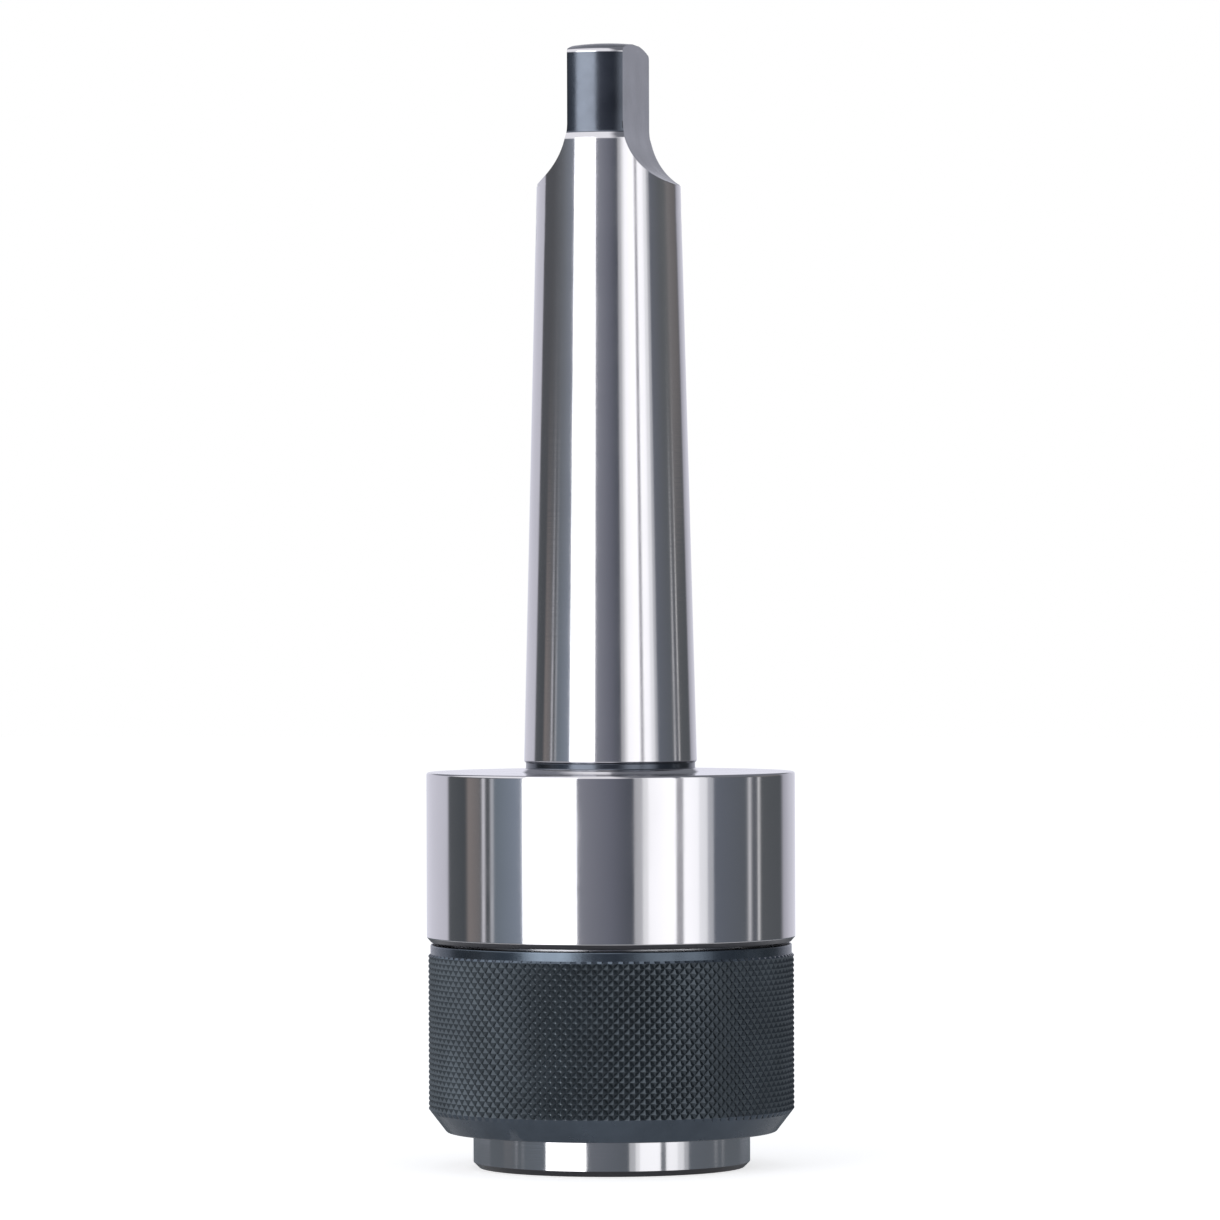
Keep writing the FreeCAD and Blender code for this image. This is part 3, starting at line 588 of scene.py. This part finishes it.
spindle = smooth_copy("spindle", "spindle_turned", "spindle")
small_parts = {
    "float_nut": "black_steel", "float_bolt": "black_steel", "lock_washer": "machined_steel",
    "bolt_washer": "machined_steel", "guide_bush": "machined_steel",
    "spring_seat_ring": "machined_steel", "nose_snap_ring": "spring_steel",
}
for kind in ("drive", "lock"):
    small_parts.update({"%s_ball_%d" % (kind, n): "bearing_steel" for n in range(1, 5)})
bodies = frame["record"]["behaviour"]["bodies"]
body_of = {node: body for body, nodes in bodies.items() for node in nodes}
small_pieces = {node: smooth_copy(node, node + "_smooth", body_of[node])
                for node, slot in small_parts.items()}

# %% [markdown]
# ## Finishes
# Two kinds of finish carry the look. The bare steel is a clear mirror with faint rings left by
# the wheel or the lathe. The black finish is oxide on steel: dark blue-grey, a little uneven, and
# worn bright on the edges. Effects that several finishes share are node groups with their own
# inputs, and they put out only values that change over the surface.


# %% A small helper for node groups
def new_group(name, inputs, outputs):
    """An empty shader group whose sockets are given as name, kind and starting value."""
    group = bpy.data.node_groups.new(name, "ShaderNodeTree")
    for label, kind, value in inputs:
        socket = group.interface.new_socket(label, in_out="INPUT", socket_type=kind)
        socket.default_value = value
    for label, kind in outputs:
        group.interface.new_socket(label, in_out="OUTPUT", socket_type=kind)
    return group, group.nodes.new("NodeGroupInput"), group.nodes.new("NodeGroupOutput")


def link(tree, source, target):
    """Join two sockets."""
    tree.links.new(source, target)


def math_node(tree, operation, first, second=None, clamp=False):
    """A Math node whose inputs are sockets or plain numbers; returns its output."""
    node = tree.nodes.new("ShaderNodeMath")
    node.operation = operation
    node.use_clamp = clamp
    for index, value in enumerate((first, second)):
        if value is None:
            continue
        if isinstance(value, (int, float)):
            node.inputs[index].default_value = value
        else:
            link(tree, value, node.inputs[index])
    return node.outputs[0]


# %% [markdown]
# ### Rings left by the wheel
# A ground or turned surface carries fine rings round its axis. They scatter light up and down but
# not sideways, which is why the bright stripes on the taper keep sharp sides. An anisotropic gloss
# could imitate that, but real rings also show from close by. So they are a fine relief: noise that
# changes quickly along the axis and slowly round it.

# %% A group for the rings
ROUND_FINENESS = 60.0


def grinding_group():
    """Height of fine rings round the axis: noise that varies fast along Z and slowly round it."""
    group, source, target = new_group(
        "grinding rings",
        [("Fineness", "NodeSocketFloat", 6000.0), ("Unevenness", "NodeSocketFloat", 0.5)],
        [("Height", "NodeSocketFloat")])
    place = group.nodes.new("ShaderNodeTexCoord")
    parts = group.nodes.new("ShaderNodeSeparateXYZ")
    link(group, place.outputs["Object"], parts.inputs[0])
    joined = group.nodes.new("ShaderNodeCombineXYZ")
    for axis, fineness in (("X", ROUND_FINENESS), ("Y", ROUND_FINENESS), ("Z", source.outputs["Fineness"])):
        link(group, math_node(group, "MULTIPLY", parts.outputs[axis], fineness), joined.inputs[axis])
    noise = group.nodes.new("ShaderNodeTexNoise")
    noise.inputs["Scale"].default_value = 1.0
    noise.inputs["Detail"].default_value = 3.0
    link(group, source.outputs["Unevenness"], noise.inputs["Roughness"])
    link(group, joined.outputs[0], noise.inputs["Vector"])
    link(group, noise.outputs["Fac"], target.inputs["Height"])
    return group


# %% [markdown]
# ### Patches and wear
# No finish is the same all over. Hands, oil and the bath of black oxide leave soft patches, and
# edges rub bright first. Patches could be painted by hand, but noise on Object coordinates needs
# no picture. For the wear, Cycles knows how convex the mesh is at each point, and that number,
# broken up by noise, is the mask.

# %% A group for uneven patches
def patch_group():
    """A mask of soft patches between a low and a high value, from noise over the whole piece."""
    group, source, target = new_group(
        "uneven patches",
        [("Scale", "NodeSocketFloat", 60.0), ("Low", "NodeSocketFloat", 0.2),
         ("High", "NodeSocketFloat", 0.4)],
        [("Value", "NodeSocketFloat")])
    place = group.nodes.new("ShaderNodeTexCoord")
    noise = group.nodes.new("ShaderNodeTexNoise")
    noise.inputs["Detail"].default_value = 5.0
    noise.inputs["Roughness"].default_value = 0.6
    link(group, place.outputs["Object"], noise.inputs["Vector"])
    link(group, source.outputs["Scale"], noise.inputs["Scale"])
    spread = group.nodes.new("ShaderNodeMapRange")
    spread.inputs["From Min"].default_value = 0.3
    spread.inputs["From Max"].default_value = 0.7
    link(group, noise.outputs["Fac"], spread.inputs["Value"])
    link(group, source.outputs["Low"], spread.inputs["To Min"])
    link(group, source.outputs["High"], spread.inputs["To Max"])
    link(group, spread.outputs["Result"], target.inputs["Value"])
    return group


# %% A group for worn edges
def wear_group():
    """A mask that is 1 on convex edges: pointiness stretched over a narrow range, broken by noise."""
    group, source, target = new_group(
        "edge wear",
        [("Start", "NodeSocketFloat", 0.52), ("End", "NodeSocketFloat", 0.58),
         ("Amount", "NodeSocketFloat", 0.6)],
        [("Mask", "NodeSocketFloat")])
    shape = group.nodes.new("ShaderNodeNewGeometry")
    spread = group.nodes.new("ShaderNodeMapRange")
    link(group, shape.outputs["Pointiness"], spread.inputs["Value"])
    link(group, source.outputs["Start"], spread.inputs["From Min"])
    link(group, source.outputs["End"], spread.inputs["From Max"])
    place = group.nodes.new("ShaderNodeTexCoord")
    noise = group.nodes.new("ShaderNodeTexNoise")
    noise.inputs["Scale"].default_value = 400.0
    noise.inputs["Detail"].default_value = 4.0
    link(group, place.outputs["Object"], noise.inputs["Vector"])
    broken = math_node(group, "MULTIPLY", spread.outputs["Result"], noise.outputs["Fac"])
    strong = math_node(group, "MULTIPLY", broken, 2.0, clamp=True)
    link(group, math_node(group, "MULTIPLY", strong, source.outputs["Amount"]), target.inputs["Mask"])
    return group


grinding = grinding_group()
patches = patch_group()
wear = wear_group()
print("shared effects:", ", ".join(group.name for group in (grinding, patches, wear)))

# %% [markdown]
# ### The bare steels
# All of them are one metal with other numbers: how light it is, how rough, how deep its rings are.
# A function with those numbers keeps them alike. The taper is ground and the housing polished.
# Under the housing and at the foot of the nose the faces are turned, and their steel is darkened
# as painted shade, for the dark gap and floor that these faces look onto.


# %% The steels
def use_group(tree, group, **values):
    """Place a group in a material and set its inputs."""
    node = tree.nodes.new("ShaderNodeGroup")
    node.node_tree = group
    for label, value in values.items():
        node.inputs[label].default_value = value
    return node


def new_metal(name):
    """A new material that is all metal, with its node tree and its shader."""
    material = bpy.data.materials.new(name)
    material.use_nodes = True
    shader = material.node_tree.nodes["Principled BSDF"]
    shader.inputs["Metallic"].default_value = 1.0
    return material, material.node_tree, shader


def uneven_colour(tree, colour, scale, low, high):
    """A colour times soft patches that lie between two values."""
    shade = use_group(tree, patches, Scale=scale, Low=low, High=high)
    mix = tree.nodes.new("ShaderNodeMix")
    mix.data_type = "RGBA"
    mix.blend_type = "MULTIPLY"
    mix.inputs["Factor"].default_value = 1.0
    mix.inputs["A"].default_value = (*colour, 1.0)
    link(tree, shade.outputs["Value"], mix.inputs["B"])
    return mix.outputs["Result"]


def relief(tree, shader, height, strength, depth):
    """Lead a height through a Bump node to the shader's normal."""
    bump = tree.nodes.new("ShaderNodeBump")
    bump.inputs["Strength"].default_value = strength
    bump.inputs["Distance"].default_value = depth
    link(tree, height, bump.inputs["Height"])
    link(tree, bump.outputs["Normal"], shader.inputs["Normal"])


def steel(name, colour, roughness, ring_depth, fineness):
    """A bare steel: colour slightly uneven, roughness in patches, fine rings as bump."""
    material, tree, shader = new_metal(name)
    link(tree, uneven_colour(tree, colour, 35.0, 0.94, 1.0), shader.inputs["Base Color"])
    rough = use_group(tree, patches, Scale=90.0, Low=roughness * 0.8, High=roughness * 1.25)
    link(tree, rough.outputs["Value"], shader.inputs["Roughness"])
    rings_node = use_group(tree, grinding, Fineness=fineness, Unevenness=0.55)
    relief(tree, shader, rings_node.outputs["Height"], 1.0, ring_depth)
    return material


polished = steel("polished steel", (0.66, 0.65, 0.67), 0.085, 0.0000012, 4000.0)
ground = steel("ground steel", (0.66, 0.65, 0.67), 0.11, 0.000003, 6000.0)
turned_steel = steel("turned steel", (0.5, 0.5, 0.52), 0.24, 0.000006, 3000.0)
# Painted shade: a turned steel darkened to stand for the shade under the housing and the nose.
turned_painted_shade = steel("turned steel with painted shade", (0.1, 0.1, 0.11), 0.3, 0.000006, 3000.0)
wire_steel = steel("spring wire", (0.32, 0.31, 0.31), 0.3, 0.000002, 2000.0)
ball_steel = steel("bearing steel", (0.72, 0.72, 0.74), 0.06, 0.0000004, 2000.0)
steels = [polished, ground, turned_steel, turned_painted_shade, wire_steel, ball_steel]
print("bare steels:", ", ".join(material.name for material in steels))

# %% [markdown]
# ### The black finish
# Tang, neck and sleeve are blackened: a thin layer of oxide, grown in a hot bath, that still has
# the gloss of the metal under it. Black paint would be wrong, because it hides the metal's sheen.
# So it is a dark blue-grey metal, mixed towards bare steel where the wear mask says so. The turned
# rim is glossier than the knurl, and the fasteners inside are duller.


# %% Black oxide
WORN_STEEL = (0.34, 0.35, 0.38, 1.0)
GRAIN_DEPTH = 0.000004


def black_finish(name, colour, roughness, worn_amount):
    """Oxide on steel: a dark metal with a soft gloss, its edges worn towards bare steel."""
    material, tree, shader = new_metal(name)
    worn = use_group(tree, wear, Start=0.53, End=0.6, Amount=worn_amount)
    mix = tree.nodes.new("ShaderNodeMix")
    mix.data_type = "RGBA"
    mix.inputs["B"].default_value = WORN_STEEL
    link(tree, worn.outputs["Mask"], mix.inputs["Factor"])
    link(tree, uneven_colour(tree, colour, 120.0, 0.8, 1.15), mix.inputs["A"])
    link(tree, mix.outputs["Result"], shader.inputs["Base Color"])
    rough = use_group(tree, patches, Scale=200.0, Low=roughness * 0.85, High=roughness * 1.2)
    link(tree, rough.outputs["Value"], shader.inputs["Roughness"])
    grain = use_group(tree, patches, Scale=2500.0, Low=0.0, High=1.0)
    relief(tree, shader, grain.outputs["Value"], 0.5, GRAIN_DEPTH)
    return material


black_tang = black_finish("black tang", (0.1, 0.112, 0.135), 0.19, 0.25)
black_knurl = black_finish("black knurl", (0.09, 0.106, 0.12), 0.34, 0.25)
black_sleeve = black_finish("black sleeve", (0.104, 0.127, 0.156), 0.25, 0.2)
black_small = black_finish("black fasteners", (0.07, 0.075, 0.085), 0.35, 0.3)
blacks = [black_tang, black_knurl, black_sleeve, black_small]
print("black finishes:", ", ".join(material.name for material in blacks))

# %% [markdown]
# ### Which face has which finish
# The black ends in a sharp line where the bare steel was ground afterwards. The line lies on an
# edge of the mesh, so no mask has to be painted: each face takes the number of its material,
# worked out from the place of its centre. The tang's rounded upper edge was rubbed bright.


# %% Paint by place
def paint(piece, materials, index=None):
    """Give a piece its materials in order, and each face the number of its own."""
    piece.data.materials.clear()
    for material in materials:
        piece.data.materials.append(material)
    if index is not None:
        piece.data.polygons.foreach_set("material_index", index.astype(np.int32))


def face_places(piece):
    """Side, height and distance from the axis of each face's centre, in millimetres."""
    centre = face_centres(piece.data)
    return np.abs(centre[:, 0]), centre[:, 2], np.hypot(centre[:, 0], centre[:, 1])


# %% The shank's black tang and neck
MARGIN = 0.02
side, height, reach = face_places(shank)
cone = TAPER_RADIUS - TAPER_RATE * (height - TAPER_BOTTOM)
in_run_out = (height > MILLED_FROM) & (reach < cone - MARGIN)
in_run_out &= side > half_thickness(height) - MARGIN
worn_edge = (height > TANG_TOP - TANG_CROWN - TANG_EDGE) & (reach > TANG_RADIUS - 0.8 * TANG_EDGE)
worn_edge &= side < TANG_HALF - MARGIN
on_tang = ((height > TAPER_TOP + TANG_STEP - MARGIN) | in_run_out) & ~worn_edge
in_neck = (height > HOUSING_TOP + FLARE_RISE - 2 * MARGIN) & (height < TAPER_BOTTOM)
in_neck &= reach > SPIGOT
paint(shank, [ground, black_tang], on_tang | in_neck)
print("faces of the tang with the black finish:", int(on_tang.sum()))

# %% The housing, the sleeve and the spindle
NOSE_CHAMFER_TOP, NOSE_CHAMFER_IN = 0.78, 18.3
_, height, reach = face_places(housing)
turned = (reach < SKIRT + 0.05) & (height < HOUSING_TOP - 0.1)
# Painted shade: the faces under the housing take the darkened turned steel.
painted_shade_under = (height < CHAMFER_FROM - 0.04) & ~turned
paint(housing, [polished, turned_painted_shade, turned_steel], painted_shade_under + 2 * turned)
_, height, reach = face_places(sleeve)
knurled = (reach > VALLEY - MARGIN) & (height > KNURL_BOTTOM) & (height < KNURL_TOP)
paint(sleeve, [black_sleeve, black_knurl], knurled)
_, height, reach = face_places(spindle)
# Painted shade: the nose's lower chamfer takes the darkened turned steel.
lower = (height < NOSE_CHAMFER_TOP) & (reach > NOSE_CHAMFER_IN)
paint(spindle, [polished, turned_painted_shade], lower)
print("faces of the knurl:", int(knurled.sum()), "and of the nose's chamfer:", int(lower.sum()))

# %% The springs and the small parts
paint(float_spring, [wire_steel])
paint(sleeve_spring, [wire_steel])
finish_of_slot = {
    "black_steel": black_small, "machined_steel": turned_steel,
    "spring_steel": wire_steel, "bearing_steel": ball_steel,
}
for node, piece in small_pieces.items():
    paint(piece, [finish_of_slot[small_parts[node]]])
print("small parts painted:", len(small_pieces))

# %% [markdown]
# ## The camera
# The photograph looks level at the middle of the chuck, turned so that one flat of the tang just
# shows, and from far enough to keep the housing's sides parallel. A long lens does the same here.
# The lens follows from how wide a strip the picture shows: focal length over sensor width is
# distance over that strip.

# %% Where the camera stands
CAMERA_TURN = math.radians(12.5)
CAMERA_DISTANCE = 0.99
CAMERA_HEIGHT = 0.079
CAMERA_ROLL = math.radians(-0.19)
STRIP_WIDTH = 0.1702
SENSOR_WIDTH = 36.0
PHOTO_WIDTH, SHIFT_PIXELS = 1220.0, -10.0
TO_CAMERA = np.array([math.sin(CAMERA_TURN), -math.cos(CAMERA_TURN), 0.0])
TO_RIGHT = np.array([math.cos(CAMERA_TURN), math.sin(CAMERA_TURN), 0.0])
camera_data = bpy.data.cameras.new("camera")
camera_data.lens = SENSOR_WIDTH * CAMERA_DISTANCE / STRIP_WIDTH
camera_data.shift_y = SHIFT_PIXELS / PHOTO_WIDTH
camera_data.clip_start = 0.05
camera = bpy.data.objects.new("camera", camera_data)
bpy.context.scene.collection.objects.link(camera)
camera.location = [*(TO_CAMERA[:2] * CAMERA_DISTANCE), CAMERA_HEIGHT]
camera.rotation_mode = "XYZ"
upright = Matrix.Rotation(CAMERA_TURN, 4, "Z") @ Matrix.Rotation(math.pi / 2, 4, "X")
camera.rotation_euler = (upright @ Matrix.Rotation(CAMERA_ROLL, 4, "Z")).to_euler()
bpy.context.scene.camera = camera
print("lens:", round(camera_data.lens, 1), "mm")

# %% [markdown]
# ## The soft boxes
# Polished steel shows its surroundings more than itself, and the long bright stripes are two tall
# soft boxes, one to each side of the camera. The right one fades towards its sides and has a bar
# down it. A picture of a studio would do, but area lamps also light the black sleeve. Each box
# spans two angles seen from the chuck. A lamp shines evenly, so a fading box is a row of steps.


# %% Soft boxes
BOX_DISTANCE = 1.3
BOX_RISE = 0.5


def soft_box(name, low_degrees, high_degrees, radiance):
    """A tall panel between two angles: its width is twice the distance times tan(half the span)."""
    middle = math.radians((low_degrees + high_degrees) / 2)
    half = math.radians((high_degrees - low_degrees) / 2)
    width = 2 * BOX_DISTANCE * math.tan(half)
    tall = 2 * BOX_DISTANCE * BOX_RISE
    data = bpy.data.lights.new(name, "AREA")
    data.shape = "RECTANGLE"
    data.size = width
    data.size_y = tall
    data.energy = radiance * math.pi * width * tall
    lamp = bpy.data.objects.new(name, data)
    bpy.context.scene.collection.objects.link(lamp)
    away = TO_CAMERA * math.cos(middle) + TO_RIGHT * math.sin(middle)
    lamp.location = away * BOX_DISTANCE + np.array([0, 0, CAMERA_HEIGHT])
    up = np.array([0, 0, 1.0])
    lamp.rotation_euler = Matrix(np.column_stack([np.cross(up, away), up, away])).to_euler()


boxes = [
    ("left soft box", -56.0, -21.2, 2.8),
    ("right soft box, near edge", 14.2, 19.5, 0.45),
    ("right soft box, inner step", 19.5, 23.0, 0.88),
    ("right soft box", 23.0, 40.8, 1.22),
    ("right soft box beyond the bar", 45.4, 56.0, 1.14),
    ("right soft box, outer step", 56.0, 62.0, 0.86),
    ("right soft box, far edge", 62.0, 66.5, 0.4),
]
for box in boxes:
    soft_box(*box)
print("soft boxes:", len(boxes))

# %% [markdown]
# ## The room that the steel shows
# Between and beside the boxes the steel shows a grey room with two thin lights on either side, and
# behind the chuck white paper, which gives the pale edges. A photographed room would bring things
# that aren't there. Since every piece is round and upright, the turn about the upright axis says
# nearly everything, so the room is a row of colours by turn, in degrees from the camera. The thin
# lights end a little above the chuck, and a second row without them takes over from there. Above
# both is a bright ceiling, which whitens the tops of the pieces, and near the floor it is dark.

# %% The room by turn
room_stops = [
    (-180, (0.82, 0.82, 0.92)), (-124, (0.72, 0.72, 0.8)), (-121, (0.12, 0.13, 0.14)),
    (-103, (0.09, 0.1, 0.11)), (-100, (0.3, 0.27, 0.26)), (-90, (0.22, 0.21, 0.21)),
    (-88.5, (0.09, 0.1, 0.11)), (-87.5, (0.85, 0.85, 0.9)), (-85.5, (0.85, 0.85, 0.9)),
    (-84.5, (0.1, 0.11, 0.12)), (-81, (0.11, 0.12, 0.13)), (-80.3, (0.6, 0.62, 0.66)),
    (-78.8, (0.6, 0.62, 0.66)), (-78, (0.2, 0.24, 0.28)), (-57, (0.3, 0.35, 0.43)),
    (-20, (0.3, 0.31, 0.36)), (0, (0.19, 0.2, 0.245)), (13, (0.105, 0.115, 0.14)),
    (43, (0.5, 0.5, 0.53)), (66, (0.17, 0.19, 0.23)), (94, (0.14, 0.155, 0.175)),
    (97, (0.9, 0.9, 0.92)), (99, (0.15, 0.16, 0.18)), (104, (0.14, 0.15, 0.17)),
    (105.5, (1.0, 1.0, 1.0)), (108, (0.13, 0.14, 0.15)), (133, (0.11, 0.12, 0.13)),
    (138, (0.5, 0.5, 0.56)), (150, (0.68, 0.68, 0.76)), (180, (0.82, 0.82, 0.92)),
]
high_stops = [
    (-180, (0.82, 0.82, 0.92)), (-124, (0.72, 0.72, 0.8)), (-121, (0.115, 0.12, 0.13)),
    (-98, (0.115, 0.12, 0.13)), (-82, (0.16, 0.17, 0.185)), (-70, (0.22, 0.24, 0.27)),
    (-57, (0.27, 0.3, 0.36)), (-20, (0.3, 0.31, 0.36)), (0, (0.19, 0.2, 0.245)),
    (13, (0.105, 0.115, 0.14)), (43, (0.5, 0.5, 0.53)), (66, (0.18, 0.195, 0.23)),
    (88, (0.15, 0.16, 0.17)), (98, (0.16, 0.17, 0.175)), (108, (0.25, 0.24, 0.24)),
    (128, (0.2, 0.19, 0.19)), (133, (0.17, 0.17, 0.18)), (138, (0.5, 0.5, 0.56)),
    (150, (0.68, 0.68, 0.76)), (180, (0.82, 0.82, 0.92)),
]
over_stops = [
    (-180, (0.25, 0.26, 0.3)), (-130, (0.25, 0.26, 0.3)), (-116, (1.15, 1.15, 1.2)),
    (2, (1.15, 1.15, 1.2)), (16, (0.22, 0.23, 0.26)), (180, (0.22, 0.23, 0.26)),
]
print("colours of the room:", len(room_stops), "and higher up:", len(high_stops))

# %% The turn of a direction
world = bpy.data.worlds.new("room")
bpy.context.scene.world = world
world.use_nodes = True
tree = world.node_tree
tree.nodes.clear()
direction = tree.nodes.new("ShaderNodeTexCoord")
spun = tree.nodes.new("ShaderNodeVectorRotate")
spun.rotation_type = "Z_AXIS"
spun.inputs["Angle"].default_value = -CAMERA_TURN
link(tree, direction.outputs["Generated"], spun.inputs["Vector"])
parts = tree.nodes.new("ShaderNodeSeparateXYZ")
link(tree, spun.outputs[0], parts.inputs[0])
toward = math_node(tree, "MULTIPLY", parts.outputs["Y"], -1.0)
angle = math_node(tree, "ARCTAN2", parts.outputs["X"], toward)
share = math_node(tree, "MULTIPLY_ADD", angle, 1 / (2 * math.pi))
share.node.inputs[2].default_value = 0.5


def turn_ramp(stops):
    """A colour ramp over the turn about the upright axis, from rows of degrees and colour."""
    node = tree.nodes.new("ShaderNodeValToRGB")
    first, last = node.color_ramp.elements[0], node.color_ramp.elements[1]
    first.position, first.color = 0.0, (*stops[0][1], 1)
    last.position, last.color = 1.0, (*stops[-1][1], 1)
    for degrees, colour in stops[1:-1]:
        node.color_ramp.elements.new(degrees / 360 + 0.5).color = (*colour, 1)
    link(tree, share, node.inputs["Fac"])
    return node.outputs["Color"]


# %% Mix the room by height and by kind of ray
def mix_colours(factor, first, second):
    """Mix two colours, each a socket or a plain colour, by a socket."""
    node = tree.nodes.new("ShaderNodeMix")
    node.data_type = "RGBA"
    link(tree, factor, node.inputs["Factor"])
    for label, value in (("A", first), ("B", second)):
        if isinstance(value, tuple):
            node.inputs[label].default_value = value
        else:
            link(tree, value, node.inputs[label])
    return node.outputs["Result"]


def rise_mask(low, high):
    """A mask that goes from 0 to 1 as the direction's height goes from low to high."""
    node = tree.nodes.new("ShaderNodeMapRange")
    node.interpolation_type = "SMOOTHSTEP"
    node.inputs["From Min"].default_value = low
    node.inputs["From Max"].default_value = high
    link(tree, parts.outputs["Z"], node.inputs["Value"])
    return node.outputs["Result"]


THIN_LIGHTS_END, BRIGHT_CEILING, NEAR_FLOOR = (0.03, 0.05), (0.15, 0.33), (-0.073, -0.064)
plain_room = (0.42, 0.43, 0.46, 1.0)
white = (1.0, 1.0, 1.0, 1.0)
low_room = (0.15, 0.17, 0.19, 1.0)
path = tree.nodes.new("ShaderNodeLightPath")
mirrored = mix_colours(rise_mask(*THIN_LIGHTS_END), turn_ramp(room_stops), turn_ramp(high_stops))
mirrored = mix_colours(rise_mask(*BRIGHT_CEILING), mirrored, turn_ramp(over_stops))
mirrored = mix_colours(rise_mask(*NEAR_FLOOR), low_room, mirrored)
seen = mix_colours(path.outputs["Is Glossy Ray"], plain_room, mirrored)
seen = mix_colours(path.outputs["Is Camera Ray"], seen, white)
background = tree.nodes.new("ShaderNodeBackground")
link(tree, seen, background.inputs["Color"])
output = tree.nodes.new("ShaderNodeOutputWorld")
link(tree, background.outputs[0], output.inputs["Surface"])

# %% [markdown]
# ## The floor
# The chuck stands on white paper that melts into the background. Paper lit until it looks white
# would need so much light that the steel burns out. So it glows towards the camera only, and keeps
# the chuck's shadow. To a mirror it glows faintly, and rays that graze it pass through, because
# the real paper is small and the steel shows the room beyond it.

# %% The floor
FLOOR_HALF = 3.0
FLOOR_HEIGHT = -0.00005
GLOW_TO_CAMERA, GLOW_TO_STEEL = 0.64, 0.12
GRAZING = 0.7
floor_mesh = bpy.data.meshes.new("floor")
signs = [(-1, -1), (1, -1), (1, 1), (-1, 1)]
corners = [(FLOOR_HALF * i, FLOOR_HALF * j, FLOOR_HEIGHT) for i, j in signs]
floor_mesh.from_pydata(corners, [], [(0, 1, 2, 3)])
floor = bpy.data.objects.new("floor", floor_mesh)
bpy.context.scene.collection.objects.link(floor)
paper = bpy.data.materials.new("white paper")
paper.use_nodes = True
tree = paper.node_tree
shader = tree.nodes["Principled BSDF"]
shader.inputs["Base Color"].default_value = (0.9, 0.9, 0.9, 1)
shader.inputs["Roughness"].default_value = 0.9
shader.inputs["Specular IOR Level"].default_value = 0.0
shader.inputs["Emission Color"].default_value = (1, 1, 1, 1)
path = tree.nodes.new("ShaderNodeLightPath")
to_camera = math_node(tree, "MULTIPLY", path.outputs["Is Camera Ray"], GLOW_TO_CAMERA)
to_steel = math_node(tree, "MULTIPLY", path.outputs["Is Glossy Ray"], GLOW_TO_STEEL)
link(tree, math_node(tree, "ADD", to_camera, to_steel), shader.inputs["Emission Strength"])
slant = tree.nodes.new("ShaderNodeLayerWeight")
shallow = math_node(tree, "GREATER_THAN", slant.outputs["Facing"], GRAZING)
clear = tree.nodes.new("ShaderNodeBsdfTransparent")
mixed = tree.nodes.new("ShaderNodeMixShader")
link(tree, math_node(tree, "MULTIPLY", shallow, path.outputs["Is Glossy Ray"]), mixed.inputs["Fac"])
link(tree, shader.outputs[0], mixed.inputs[1])
link(tree, clear.outputs[0], mixed.inputs[2])
link(tree, mixed.outputs[0], tree.nodes["Material Output"].inputs["Surface"])
floor_mesh.materials.append(paper)

# %% Colour
bpy.context.scene.view_settings.view_transform = "Standard"
